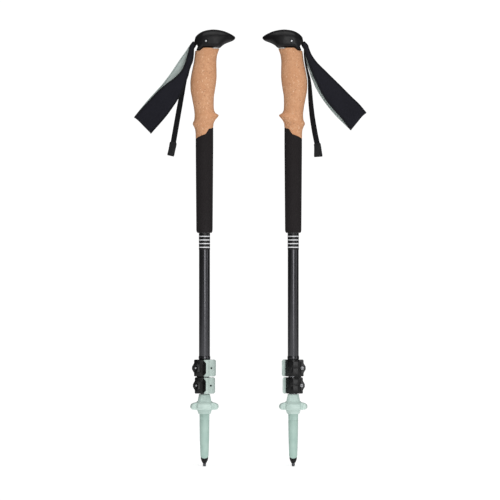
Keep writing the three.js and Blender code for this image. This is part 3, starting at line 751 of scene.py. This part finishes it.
# along, aside, depth, width, twist, lean
FRONT_HALF = np.array([
    [-2.5, -0.9, 3.2, 6, 72, 0],
    [0, -1.1, 3.5, 7.6, 72, 0],
    [5, -1.2, 5.4, 8.4, 74, 0],
    [10, -2.4, 6.9, 6.8, 76, 0],
    [20, -6.6, 7.6, 9.6, 80, 0],
    [35, -10.8, 8.4, 10.2, 88, 0],
    [50, -13, 9.2, 14.8, 90, 0],
    [62, -12.8, 9.9, 20.6, 90, 0],
    [75, -11.3, 10.4, 27, 90, 0],
    [90, -9.2, 10.4, 31.6, 90, 2],
    [110, -6.6, 9, 34.4, 90, 6],
    [128, -3.4, 5.4, 35.4, 90, 9],
    [141, -1.2, 1.75, 35, 90, 11],
])
FOLD_END = [[128, -1.8, 5.4, 34, 90, 9], [141, -1.2, 1.75, 35, 90, 11]]
BACK_HALF = {
    "left": np.array([
        [-2.5, -0.9, 3.2, 6, 72, 0],
        [0, -1.1, 3.5, 7.6, 72, 0],
        [5, -0.8, 5.4, 8.4, 74, 0],
        [10, 0, 6.9, 7.6, 77, 0],
        [20, -1.3, 7.6, 11.5, 80, 0],
        [35, -3, 8.4, 16, 88, 0],
        [50, -3.8, 9.2, 18.4, 90, 0],
        [62, -4.7, 9.9, 21.6, 90, 0],
        [75, -4.9, 10.4, 24.2, 90, 0],
        [90, -4.4, 10.4, 28.1, 90, 2],
        [110, -2.7, 9, 31.6, 90, 6],
        *FOLD_END,
    ]),
    "right": np.array([
        [-2.5, -0.9, 3.2, 6, 72, 0],
        [0, -1.1, 3.5, 7.6, 72, 0],
        [5, -1, 5.4, 8.4, 74, 0],
        [10, -2, 6.9, 7.2, 77, 0],
        [20, -5.1, 7.6, 9.2, 80, 0],
        [35, -7.3, 8.4, 13.4, 88, 0],
        [50, -7.9, 9.2, 19.3, 90, 0],
        [62, -7.9, 9.9, 23.3, 90, 0],
        [75, -7.8, 10.4, 27.6, 90, 0],
        [90, -7, 10.4, 31, 90, 2],
        [110, -4.6, 9, 32.8, 90, 6],
        *FOLD_END,
    ]),
}


def strap_axes(angle):
    a = math.radians(angle)
    return Vector((-math.sin(a), 0, -math.cos(a))), Vector((-math.cos(a), 0, math.sin(a)))


def half_stations(table, depth_sign, across_sign, steps, side):
    """Centre, direction of the width, and width at each station of one half of the loop."""
    down, out = strap_axes(STRAP_ANGLE[side])
    s = np.linspace(table[0, 0], table[-1, 0], steps)
    t, y, w, twist, lean = (smooth(table[:, 0], table[:, c], s) for c in range(1, 6))
    rows = []
    for i in range(steps):
        along = down * s[i] * STRAP_LENGTH[side]
        centre = STRAP_PIVOT + along + out * t[i] + Vector((0, depth_sign * y[i], 0))
        k, l = math.radians(twist[i]), math.radians(lean[i] * STRAP_LEAN[side])
        flat = out * math.cos(l) - down * math.sin(l)
        across = Vector((0, across_sign, 0)) * math.cos(k) + flat * math.sin(k)
        rows.append((centre, across.normalized(), w[i]))
    return rows


def band_stations(side):
    """The whole band: down the front half, round the fold, and up the back half."""
    down, _ = strap_axes(STRAP_ANGLE[side])
    front = half_stations(FRONT_HALF, -1, 1, 72, side)
    back = half_stations(BACK_HALF[side], 1, -1, 72, side)
    low, high = front[-1], back[-1]
    fold = []
    for turn, drop in ((-0.72, 0.85), (0, 1.25), (0.72, 0.85)):
        middle = (low[0] + high[0]) / 2 + down * drop + Vector((0, 1.6 * turn, 0))
        fold.append((middle, low[1], low[2]))
    return front + fold + back[::-1]


def with_normals(stations):
    """Adds the direction of travel, the normal on the lining's side, and the length run."""
    out, run = [], 0.0
    for i, (centre, across, width) in enumerate(stations):
        before, after = stations[max(i - 1, 0)][0], stations[min(i + 1, len(stations) - 1)][0]
        tangent = (after - before).normalized()
        across = (across - tangent * across.dot(tangent)).normalized()
        if i:
            run += (centre - stations[i - 1][0]).length
        out.append((centre, across, tangent, tangent.cross(across).normalized(), width, run))
    return out


BIND = 2.2  # width of the bound edge
# distance in from the edge, half thickness
EDGE = [
    (0.0, 0.0), (0.15, 0.75), (0.6, 1.15), (BIND - 0.7, 1.18), (BIND - 0.25, 1.02), (BIND, 0.62),
    (BIND + 0.5, 0.86),
]
PANEL = [(0.35, 0.96), (0.7, 1.04), (1.0, 1.08)]  # share of the way to the middle, half thickness


def band_section(width):
    """Half the outline, from one edge to the middle: (distance from the middle, half thickness)."""
    half = width / 2
    squeeze = min(1.0, half / 5.2)
    points = [(half - d * squeeze, t) for d, t in EDGE]
    inner = points[-1][0]
    return points + [(inner * (1 - share), t) for share, t in PANEL]


def band_shape(stations):
    per_side = len(EDGE) + len(PANEL)
    rings, widths, runs = [], [], []
    for centre, across, _, normal, width, run in stations:
        half = band_section(width)
        face = [(u, t) for u, t in half] + [(-u, t) for u, t in half[-2::-1]]
        around = face + [(u, -t) for u, t in face[-2:0:-1]]
        rings.append([centre + across * u + normal * t for u, t in around])
        widths.append([u for u, _ in around])
        runs.append(run)
    sides = len(rings[0])
    top = 2 * per_side - 2  # the last strip on the lining's face
    edge = len(EDGE) - 2

    def paint(j):
        """0 outer cloth, 1 lining, 2 binding, 3 piping. The lining runs out to a light piping on one edge,
        and to a narrow strip of the binding on the other."""
        if j > top:
            back = sides - 1 - j
            return 0 if edge < back < top - edge - 1 else 2
        if j <= 1:
            return 3
        return 1 if j < top - 1 else 2

    def uv(i, j):
        return widths[i][j % sides], runs[i]

    return skin(rings, uv=uv, paint=paint)


def stitch_shape(stations, inset, face, pitch=3.2, length=2.2, r=0.2):
    """A row of short raised stitches along both edges of one face."""
    runs = np.array([s[5] for s in stations])
    shapes = []
    for edge in (-1, 1):
        for run in np.arange(16, runs[-1] - 16, pitch):
            i = int(np.clip(np.searchsorted(runs, run), 1, len(stations) - 1))
            t = (run - runs[i - 1]) / (runs[i] - runs[i - 1])
            a, b = stations[i - 1], stations[i]
            centre, across, tangent, normal = (a[k].lerp(b[k], t) for k in range(4))
            width = a[4] + (b[4] - a[4]) * t
            if width < 9.5:
                continue
            at = centre + across * edge * (width / 2 - inset) + normal * face * 1.16
            ring = [(math.cos(q) * r, math.sin(q) * r * 0.8) for q in (0.5, 1.57, 2.64, 3.64, 4.71, 5.78)]
            rings = []
            for step, size in ((-0.5, 0.45), (-0.36, 1), (0.36, 1), (0.5, 0.45)):
                middle = at + tangent * length * step - normal * face * (0.12 if size < 1 else 0)
                rings.append([middle + across * u * size + normal * v * size for u, v in ring])
            shapes.append(skin(rings))
    return gathered(shapes)


# along, aside, depth, width, twist
TAIL = {
    "left": np.array([
        [0, 0, 0, 4, 0],
        [4, -0.6, 0.2, 4.4, 5],
        [12, 0, 1, 7, 20],
        [22, 1.6, 2, 7.8, 36],
        [36, 6.9, 2.6, 7.8, 52],
        [52, 9.6, 2.6, 7.8, 62],
        [75, 12, 2, 7.8, 68],
        [100, 14.6, 1, 8, 72],
        [130, 17.6, 0.2, 8, 78],
        [144, 19, 0, 8, 82],
    ]),
    "right": np.array([
        [0, 0, 0, 4, 0],
        [4, 0.1, 0.2, 4.4, 4],
        [12, 0.4, 1, 7, 8],
        [22, 1.4, 2, 7.8, 10],
        [36, 4.2, 2.6, 7.8, 14],
        [50, 7.2, 2.6, 7.8, 24],
        [62, 8.2, 2.4, 7.8, 38],
        [75, 8.9, 2, 7.8, 50],
        [100, 11.2, 1, 8, 62],
        [130, 16, 0.2, 8, 76],
        [144, 18.9, 0, 8, 82],
    ]),
}
TAIL_TAB = {
    "left": np.array([
        [142.6, 18.9, 0, 8.4, 82],
        [144.4, 19.05, 0, 10, 82],
        [147, 19.3, 0, 10.4, 83],
        [154, 20.2, 0, 10, 84],
        [163.6, 21.6, 0, 10.4, 86],
    ]),
    "right": np.array([
        [142.6, 18.7, 0, 8.4, 82],
        [144.4, 19, 0, 10, 82],
        [147, 19.4, 0, 10.2, 83],
        [154, 20, 0, 11.2, 84],
        [163, 20.6, 0, 12.8, 86],
    ]),
}


def tail_stations(table, steps, angle):
    down, out = strap_axes(angle)
    s = np.linspace(table[0, 0], table[-1, 0], steps)
    t, y, w, twist = (smooth(table[:, 0], table[:, c], s) for c in range(1, 5))
    rows = []
    for i in range(steps):
        k = math.radians(twist[i])
        centre = TAIL_PIVOT + down * s[i] + out * t[i] + Vector((0, y[i], 0))
        rows.append((centre, Vector((0, 1, 0)) * math.cos(k) + out * math.sin(k), w[i]))
    return with_normals(rows)


def tail_shape(stations, thickness=1.6):
    outline = fillet([(1, -1), (1, 1), (-1, 1), (-1, -1)], 0.5, 3)
    edge = 0.7  # width of the rounded edge
    rings = []
    for centre, across, _, normal, width, _ in stations:
        flat = width / 2 - edge
        rings.append([
            centre + across * (math.copysign(flat, u) + u * edge) + normal * (v * thickness / 2)
            for u, v in outline
        ])

    def uv(i, j):
        return outline[j % len(outline)][0] * stations[i][4] / 2, stations[i][5]

    return skin(rings, uv=uv)


def tab_shape(stations):
    """The moulded end of the tail, with grip ribs on both faces."""
    rings = []
    outline = fillet([(1, -1), (1, 1), (-1, 1), (-1, -1)], 0.35, 3)
    for i, (centre, across, _, normal, width, _) in enumerate(stations):
        last = len(stations) - 1
        end = min(i, last - i) / last
        shrink = 1 - 0.12 * max(0.0, 1 - end * 14)
        rib = 1 + (0.16 if 0.12 < end and (i // 3) % 2 else 0.0)
        rings.append([
            centre + across * u * width / 2 * shrink + normal * v * 1.45 * shrink * rib for u, v in outline
        ])
    return skin(rings)


def wedge_shape():
    outline = [(-14.2, 622.4), (-5, 623.4), (-5, 626.8), (-12.8, 626.8), (-14.2, 625.6)]
    body = crosswise(outline, -7.1, 7.1)
    grooves = [block((-15, -13.7), (y - 0.35, y + 0.35), (620, 630)) for y in (-4.8, -2.4, 0, 2.4, 4.8)]
    return eased(cut(body, *grooves), 0.25, 2)


# ---------------------------------------------------------------- shaft
def tube_shape(r, wall, low, high, sides=80):
    """A tube with rounded ends. The texture place is the share of a turn and the height."""
    outline = fillet([(r - wall, low), (r, low), (r, high), (r - wall, high)], 0.25, 2)

    def uv(i, j):
        return j / sides, outline[i % len(outline)][1]

    return turned(outline, sides, uv)


def plug_shape(r, wall, top):
    shank, head = r - wall - 0.3, r + 0.05
    rim, end = top + 0.3, top + 3.7
    outline = [(0, top - 10), (shank, top - 10), (shank, rim), (head, rim), (head, end), (0, end)]
    return turned(fillet(outline, 0.4, 3, closed=False))


# ---------------------------------------------------------------- lever clamp
CLAMPS = {
    "upper": {"z": 132.0, "height": 24.4, "tube": 8.0, "plan": 1.0, "boss": 0, "parent": "grip"},
    "lower": {"z": 106.8, "height": 23.6, "tube": 7.0, "plan": 0.93, "boss": 1.35, "parent": "mid"},
}
PIN = (3.0, -14.4)
KNUCKLE_R, EYE_R, CHEEK_R = 2.6, 3.2, 4.3
FORK = 4.4
SCREW_X = -13.2
EAR = 6.8


def scaled(points, plan):
    return [(x * plan, y * plan) for x, y in points]


def clamp_shape(z, height, tube, plan, boss, **_):
    """The black body: a split ring, the two ears, a front housing, and the knuckle for the lever's pin."""
    mid, top = z + height / 2, z + height
    ring_r = tube + 3.2
    wall = [(tube + 0.3, z), (ring_r, z), (ring_r, top), (tube + 0.3, top)]
    ring = turned(fillet(wall, [0, 0.7, 0.7, 0], 3), 96)
    ear_outline = [
        (-6, z), (-15.2 * plan, z), (-15.2 * plan, z + 5), (-18.2 * plan, mid - 2),
        (-18.2 * plan, mid + 2), (-15.2 * plan, top - 5), (-15.2 * plan, top), (-6, top),
    ]
    ears = crosswise(fillet(ear_outline, [0, 1.6, 1.5, 1.2, 1.2, 1.5, 1.6, 0], 3), -EAR * plan, EAR * plan)
    front = [(-13.8, -6), (-12.6, -11.2), (-10.4, -13), (-3.4, -13.6), (0.4, -13), (0.4, -6)]
    housing = raised(fillet(scaled(front, plan), [0, 1.0, 1.4, 1.2, 0, 0], 4), z + 0.2, top - 0.2)
    px, py = PIN[0] * plan, PIN[1] * plan
    low, high = z + FORK + 0.3, top - FORK - 0.3
    housing = cut(housing, moved(rod(CHEEK_R + 0.3, z - 1, top + 1, 0), px, py))
    # A raised plate on the front with a sunk panel in it.
    plate = scaled([(-11.6, -12), (-11.2, -13.4), (-3.6, -14.3), (-2.6, -13)], plan)
    plate = raised(fillet(plate, 0.3, 2), z + 3.4, top - 3.4)
    panel = block((-9.6 * plan, -5.2 * plan), (-20, -13.55 * plan), (mid - 5.2, mid + 5.2))
    knuckle = moved(rod(KNUCKLE_R, low, high, 0.25), px, py)
    web = block((px - 2 * plan, px + 2 * plan), (py, -6), (low, high))
    # The back of the ring: a raised block with a rounded face.
    back = [(-12.2, 5.5), (-11.4, 10.0), (-7.5, 12.6), (0, 13.2), (6.2, 11.7), (9.6, 8.0), (6, 5)]
    hump = raised(fillet(scaled(back, plan), [0, 1.2, 2.5, 4, 2.5, 1.2, 0], 4), z + 2.6, top - 2.6)
    parts = [cut(join(housing, plate), panel), web, knuckle, hump, ring]
    if boss:
        corners = [(-12.4, -7.6), (-1.5, -9.6), (-1.5, 9.6), (-12.4, 7.6)]
        parts.append(raised(fillet(scaled(corners, plan), 1.5, 4), top - 1, top + boss))
    whole = join(ears, *parts)
    room = [moved(rod(EYE_R + 0.3, a, b, 0), px, py) for a, b in ((z - 1, low), (high, top + 1))]
    rivet = along_y(rod(1.0, 12, 14.6 * plan, 0.3, 24), 2.6 * plan, mid)
    whole = cut(
        whole,
        rod(tube + 0.3, z - 1, top + 3, 0, 96),
        block((-30, 0), (-0.9, 0.9), (z - 1, top + 3)),
        along_y(rod(1.8, -20, 20, 0), SCREW_X * plan, mid),
        along_y(rod(3.3, EAR * plan, 20, 0), SCREW_X * plan, mid),
        block((-30, SCREW_X * plan + 3), (-30, -EAR * plan), (mid - 3.1, mid + 3.1)),
        moved(rod(1.5, z - 1, top + 1, 0), px, py),
        block((-10.5 * plan, 7.5 * plan), (12.1 * plan, 20), (mid - 0.4, mid + 0.4)),
        *room,
    )
    return eased(join(whole, rivet), 0.3, 2, 40)


def lever_shape(z, height, tube, plan, **_):
    """The lever: a curved shell with a cheek over the knuckle, and two fork arms round the pin."""
    mid, top = z + height / 2, z + height
    steps = 30
    outer = arc(0, 0, 16.3, -70, 11, steps)
    inner = arc(0, 0, 12.0, 14, -68, steps)
    # The free end turns out a little for a thumb.
    flick = [(16.7, 4.0), (16.2, 5.2), (14.9, 5.2)]
    px, py = PIN[0] * plan, PIN[1] * plan
    low, high = z + FORK, top - FORK
    shell = raised(scaled(outer + flick + inner, plan), z, top)
    behind = block((-20, -1.2 * plan), (-30, 0), (z - 1, top + 1))
    cheek = cut(moved(rod(CHEEK_R, z, top, 0, 64), px, py), behind)
    eyes = [moved(rod(EYE_R, a, b, 0), px, py) for a, b in ((z, low), (high, top))]
    # The edge towards the knuckle stands back between the two arms.
    edge = [
        (-0.9, z - 0.2), (-0.7, z + 1.4), (2.5, z + 4.7),
        (2.5, top - 4.7), (-0.7, top - 1.4), (-0.9, top + 0.2),
    ]
    edge = fillet([(x * plan, v) for x, v in edge], [0, 0.8, 1.6, 1.6, 0.8, 0], 3, closed=False)
    bite = crosswise([(-12, z - 2), (-0.9, z - 2), *edge, (-0.9, top + 2), (-12, top + 2)], -30, -9)
    at = 10.2 * plan
    dimple = along_y(rod(1.5, -20, -6, 0), at, mid)
    corner = []
    for s, edge in ((1, top), (-1, z)):
        r, reach = 3.2, 16.9 * plan
        quarter = np.linspace(0, math.pi / 2, 9)
        outline = [(reach - r + r * math.sin(q), edge - s * (r - r * math.cos(q))) for q in quarter]
        outline += [(20, edge - s * r), (20, edge + s * 2), (reach - r, edge + s * 2)]
        corner.append(crosswise(outline, -14, 10))
    # A shallow channel across the thumb end.
    channel = moved(rod(1.1, mid - 6.5, mid + 6.5, 0.8), 17.3 * plan, 1.4 * plan)
    whole = cut(
        join(shell, cheek, *eyes),
        rod(tube + 3.5, z - 1, top + 1, 0, 96),
        moved(rod(KNUCKLE_R + 0.3, low, high, 0), px, py),
        moved(rod(1.5, z - 1, top + 1, 0), px, py),
        block((-20, (PIN[0] + 2.6) * plan), (py + 1.2, 0), (low, high)),
        bite,
        dimple,
        channel,
        *corner,
    )
    return eased(whole, 0.5, 3, 42)


def screw_shape(z, height, tube, plan, **_):
    mid, at, face = z + height / 2, SCREW_X * plan, EAR * plan + 0.3
    end, top = -face - 2.1, face + 2.8
    body = [(0, end), (1.5, end), (1.5, face), (2.7, face), (2.7, top), (0, top)]
    body = turned(fillet(body, [0, 0.3, 0, 0.3, 0.45, 0], 3, closed=False), 48)
    slot = block((-4, 4), (-0.45, 0.45), (face + 1.7, face + 5))
    return eased(along_y(cut(body, slot), at, mid), 0.08, 2)


def nut_shape(z, height, tube, plan, **_):
    mid, at, face = z + height / 2, SCREW_X * plan, EAR * plan + 0.3
    nut = turned([(1.6, -face - 2.2), (2.7, -face - 2.2), (2.7, -face), (1.6, -face)], 6)
    return eased(along_y(nut, at, mid), 0.3, 2)


def pin_shape(z, height, tube, plan, **_):
    return moved(rod(1.2, z + 0.4, z + height - 0.4, 0.3), PIN[0] * plan, PIN[1] * plan)


# ---------------------------------------------------------------- tip
def scallop(angle):
    """How far the seam between the sleeve and the tip's seat rises, from its mean."""
    return 1.2 * math.cos(2 * angle)


def seam_ring(r, h, sides, share):
    """A ring of points that follows the seam's rise by the given share."""
    angles = [TAU * j / sides for j in range(sides)]
    return [(r * math.cos(a), r * math.sin(a), h + share * scallop(a)) for a in angles]


def sleeve_shape():
    """The tapered sleeve, with a scalloped lower edge and one groove below the basket."""
    outer = np.array([
        [12.9, 5.7], [13.6, 5.9], [16, 6.05], [24, 6.35], [36, 6.75], [58, 7.1], [67.8, 7.2],
        [68.1, 7.02], [68.7, 7.02], [69, 7.22], [77, 7.3], [84, 7.4], [104.0, 7.4], [104.5, 7.0],
    ])
    heights = sorted({*np.linspace(12.9, 67, 30), *outer[:, 0]})
    sides = 72
    rows = []
    for h in heights:
        r = float(np.interp(h, outer[:, 0], outer[:, 1]))
        fade = max(0.0, 1 - (h - 12.9) / 6)
        rows.append(seam_ring(r, h, sides, fade))
    stations = ((6.3, 104.5, 0), (6.3, 61.7, 0), (4.5, 59.7, 0), (4.5, 12.9, 1))
    bore = [seam_ring(r, h, sides, share) for r, h, share in stations]
    return skin([*rows, *bore], run=True)


def seat_shape():
    sides = 64
    outline = [
        (1.9, 4.7), (2.5, 4.7), (3.6, 6.2), (4.8, 8.4), (5.4, 10.4), (5.6, 12.2),
        (5.2, 12.6), (4.2, 12.6), (4.2, 30), (1.9, 30),
    ]
    rows = []
    for r, h in fillet(outline, 0.3, 2):
        fade = max(0.0, 1 - (12.6 - h) / 7) if h <= 12.7 else 0.0
        rows.append(seam_ring(r, h, sides, fade))
    return skin(rows, run=True)


def carbide_shape():
    """The flat-ended bit with short flutes."""
    outline = [(0, 0), (2.0, 0), (2.5, 4.4), (1.6, 4.4), (1.6, 14), (0, 14)]
    bit = turned(fillet(outline, [0, 0.25, 0.2, 0.1, 0.3, 0], 2, closed=False), 48)
    flutes = []
    for i in range(6):
        a = TAU * (i + 0.5) / 6
        groove = rod(0.5, -2, 3.4, 0, 16)
        groove.transform(Matrix.Translation((2.3 * math.cos(a), 2.3 * math.sin(a), 0)))
        flutes.append(groove)
    return eased(cut(bit, *flutes), 0.1, 1, 40)


def basket_shape():
    """A disc of four broad lobes with a drooping rim, on a collar with a flat window on each side."""
    bore, seat, top, body_r, rim_r, notch, lobes = 7.7, 77.0, 105.8, 11.4, 20.9, 5.6, 4
    steps = 192
    rings = []
    for i in range(steps):
        a = TAU * i / steps
        turn = lobes * i / steps
        from_lobe = 2 * abs(turn - round(turn))  # 0 in the middle of a lobe, 1 in a notch
        t = min(1.0, max(0.0, (from_lobe - 0.62) / 0.3))
        rim = rim_r - notch * t * t * (3 - 2 * t)
        off_window = from_lobe * math.pi / lobes

        def out_to(share):
            return body_r + (rim - body_r) * share

        def window(r):
            return max(bore + 0.5, min(r, 0.87 * r / math.cos(off_window)))

        outline = [
            (bore, seat), (bore + 1.3, seat), (body_r, seat + 7.4), (out_to(0.38), seat + 7.9),
            (out_to(0.45), seat + 6.0), (out_to(0.78), seat + 6.5), (out_to(0.97), seat + 8.9),
            (rim, seat + 11.2),
            (out_to(0.88), seat + 14.3), (out_to(0.54), seat + 16.1), (body_r + 0.3, seat + 17.1),
            (body_r, seat + 18.2), (window(11.3), seat + 18.7), (window(11), seat + 21),
            (window(9.2), seat + 27.6), (window(8.8), top), (bore, top),
        ]
        radii = [0.2, 0.4, 1.2, 0.5, 0.6, 1.2, 1.4, 1.6, 1.6, 1.2, 0.5, 0.3, 0.3, 0.5, 0.5, 0.3, 0.2]
        rings.append([(r * math.cos(a), r * math.sin(a), z) for r, z in fillet(outline, radii, 3)])
    return skin(rings, run=True)


# ---------------------------------------------------------------- building
CRIMP = [(8.02, 156.9), (8.35, 156.9), (8.6, 158.2), (8.6, 160.4), (8.3, 161.8), (8.02, 161.8)]
shapes = {
    "head": head_shape(),
    "cork": cork_shape(),
    "foam": foam_shape(),
    "pin": head_pin_shape(),
    "light_line": light_line_shape(),
    "wedge": wedge_shape(),
    "upper_tube": tube_shape(8.0, 0.8, 134, 604),
    "mid_tube": tube_shape(7.0, 0.8, 108.5, 590),
    "lower_tube": tube_shape(6.0, 0.8, 62, 570),
    "mid_plug": plug_shape(7.0, 0.8, 590),
    "lower_plug": plug_shape(6.0, 0.8, 570),
    "print": tube_shape(8.22, 0.2, 317.4, 341.8),
    "crimp": turned(fillet(CRIMP, 0.3, 3), 80),
    "sleeve": sleeve_shape(),
    "seat": seat_shape(),
    "carbide": carbide_shape(),
    "basket": basket_shape(),
}
for place, clamp in CLAMPS.items():
    shapes[place] = {
        "body": clamp_shape(**clamp),
        "lever": lever_shape(**clamp),
        "screw": screw_shape(**clamp),
        "nut": nut_shape(**clamp),
        "pin": pin_shape(**clamp),
    }

for side in SIDES:
    put(shapes["head"], "head", side, "grip", LOOK["head"], ["grip_head"], "head_plastic")
    put(shapes["cork"], "cork", side, "grip", LOOK["cork"], ["cork_grip"], "cork", sharp=50)
    put(shapes["foam"], "foam", side, "grip", LOOK["foam"], ["foam_sleeve"], "foam", sharp=50)
    put(shapes["pin"], "head_pin", side, "grip", LOOK["rivet"], ["strap_pin"], "steel")
    # The pale strip under the head is painted light, a light line put in the gap between cork and head.
    put(shapes["light_line"], "head_light_line", side, "grip", LOOK["light_line"], (), "plug_plastic")
    put(shapes["wedge"], "wedge", side, "wedge", LOOK["plug"], ["strap_wedge"], "plug_plastic")
    put(shapes["upper_tube"], "top_tube", side, "grip", LOOK["tube"], ["upper_tube"], "upper_tube")
    put(shapes["print"], "printed_band", side, "grip", LOOK["band"], (), "upper_tube")
    put(shapes["crimp"], "crimp_ring", side, "grip", LOOK["tube"], (), "upper_tube")
    put(shapes["mid_tube"], "middle_tube", side, "mid", LOOK["scale"], ["mid_tube"], "inner_tube")
    put(shapes["mid_plug"], "middle_plug", side, "mid", LOOK["plug"], ["mid_tube_plug"], "plug_plastic")
    put(shapes["lower_tube"], "bottom_tube", side, "lower", LOOK["scale"], ["lower_tube"], "inner_tube")
    put(shapes["lower_plug"], "bottom_plug", side, "lower", LOOK["plug"], ["lower_tube_plug"], "plug_plastic")
    for place, clamp in CLAMPS.items():
        for shape, name, body, look, node, slot in (
            ("body", "clamp", clamp["parent"], "clamp", "clamp_body", "clamp_plastic"),
            ("lever", "lever", f"{place}_lever", "lever", "clamp_lever", "mint_plastic"),
            ("pin", "hinge_pin", clamp["parent"], "steel", "lever_pin", "steel"),
            ("screw", "screw", f"{place}_screw", "steel", "tension_screw", "steel"),
            ("nut", "nut", clamp["parent"], "black_steel", "tension_nut", "steel"),
        ):
            put(shapes[place][shape], f"{place}_{name}", side, body, LOOK[look], [f"{place}_{node}"], slot)
    put(shapes["sleeve"], "sleeve", side, "lower", LOOK["mint"], ["tip_sleeve"], "mint_plastic")
    put(shapes["seat"], "seat", side, "lower", LOOK["tip"], ["tip_seat"], "tip_plastic")
    put(shapes["carbide"], "bit", side, "lower", LOOK["carbide"], ["carbide_tip"], "carbide")
    put(shapes["basket"], "snow_disc", side, "basket", LOOK["disc"], ["basket"], "mint_plastic")
    for node, look in (("grip_plug", "plug"), ("strap_anchor", "webbing")):
        obj = frame["nodes"][f"{side}_{node}"]
        obj.data.materials.clear()
        obj.data.materials.append(LOOK[look])

    stations = with_normals(band_stations(side))
    looks = [LOOK[m] for m in ("outer", "lining", "binding", "piping")]
    halves = ["strap_front_half", "strap_back_half"]
    band = put(band_shape(stations), "strap", side, "strap", looks, halves, "strap_band", sharp=60, own=True)
    stitches = gathered([stitch_shape(stations, 1.4, face) for face in (-1, 1)])
    put(stitches, "strap_stitches", side, "strap", LOOK["thread"], (), "strap_band", own=True)
    tail = tail_shape(tail_stations(TAIL[side], 60, TAIL_ANGLE[side]))
    tail = put(tail, "tail", side, "tail", LOOK["webbing"], ["strap_tail"], "webbing", sharp=60, own=True)
    tab = tab_shape(tail_stations(TAIL_TAB[side], 34, TAIL_ANGLE[side]))
    put(tab, "tail_end", side, "tail", LOOK["rubber"], ["tail_tab"], "tab_rubber", own=True)


# ---------------------------------------------------------------- stage
def plain(name, colour, roughness, glow):
    p = Paint(name, roughness=roughness, Emission_Color=(1, 1, 1, 1), Emission_Strength=glow)
    return p.finish(p.mix(p.ramp(p.noise(3, 2), 0.3, 0.7), colour, colour))


def flat_sheet(name, size, at, material):
    h = size / 2
    mesh = mesh_of([(-h, -h, 0), (h, -h, 0), (h, h, 0), (-h, h, 0)], [(0, 1, 2, 3)])
    obj = bpy.data.objects.new(name, mesh)
    obj.location = at
    mesh.materials.append(material)
    scene.collection.objects.link(obj)
    return obj


flat_sheet("floor", 1.6, (0, 0, 0), plain("floor", (0.9, 0.9, 0.9, 1), 0.9, 0.45))

# A white surround: full white where the camera sees it, softer as a light.
world = bpy.data.worlds.new("studio")
scene.world = world
world.use_nodes = True
nodes, links = world.node_tree.nodes, world.node_tree.links
seen = nodes.new("ShaderNodeMapRange")
links.new(nodes.new("ShaderNodeLightPath").outputs["Is Camera Ray"], seen.inputs[0])
seen.inputs[3].default_value, seen.inputs[4].default_value = 0.12, 1.05
links.new(seen.outputs[0], nodes["Background"].inputs[1])
nodes["Background"].inputs[0].default_value = (1, 1, 1, 1)


def lamp(name, at, aim, size, watts):
    data = bpy.data.lights.new(name, "AREA")
    data.shape, data.energy = "RECTANGLE", watts
    data.size, data.size_y = size
    obj = bpy.data.objects.new(name, data)
    obj.visible_camera = False
    obj.location = at
    obj.rotation_euler = (Vector(aim) - Vector(at)).to_track_quat("-Z", "Y").to_euler()
    scene.collection.objects.link(obj)


sun_data = bpy.data.lights.new("ceiling", "SUN")
sun_data.energy, sun_data.angle = 2.0, math.radians(60)
sun = bpy.data.objects.new("ceiling", sun_data)
sun.rotation_euler = (math.radians(20), 0, 0)
scene.collection.objects.link(sun)
lamp("key", (0.35, -2.3, 0.5), (0, 0, 0.33), (0.7, 1.7), 26)
lamp("fill", (2.0, -0.9, 0.6), (0, 0, 0.3), (0.6, 1.6), 6)

camera_data = bpy.data.cameras.new("camera")
camera_data.lens, camera_data.sensor_width = 300, 36
camera_data.clip_start, camera_data.clip_end = 0.01, 100
camera = bpy.data.objects.new("camera", camera_data)
FRAME_WIDTH = 0.7325  # metres across the picture at the poles
camera.location = (0.0017, -FRAME_WIDTH * camera_data.lens / camera_data.sensor_width, 0.317)
camera.rotation_euler = (math.pi / 2, 0, 0)
scene.collection.objects.link(camera)
scene.camera = camera
scene.view_settings.view_transform = "Standard"
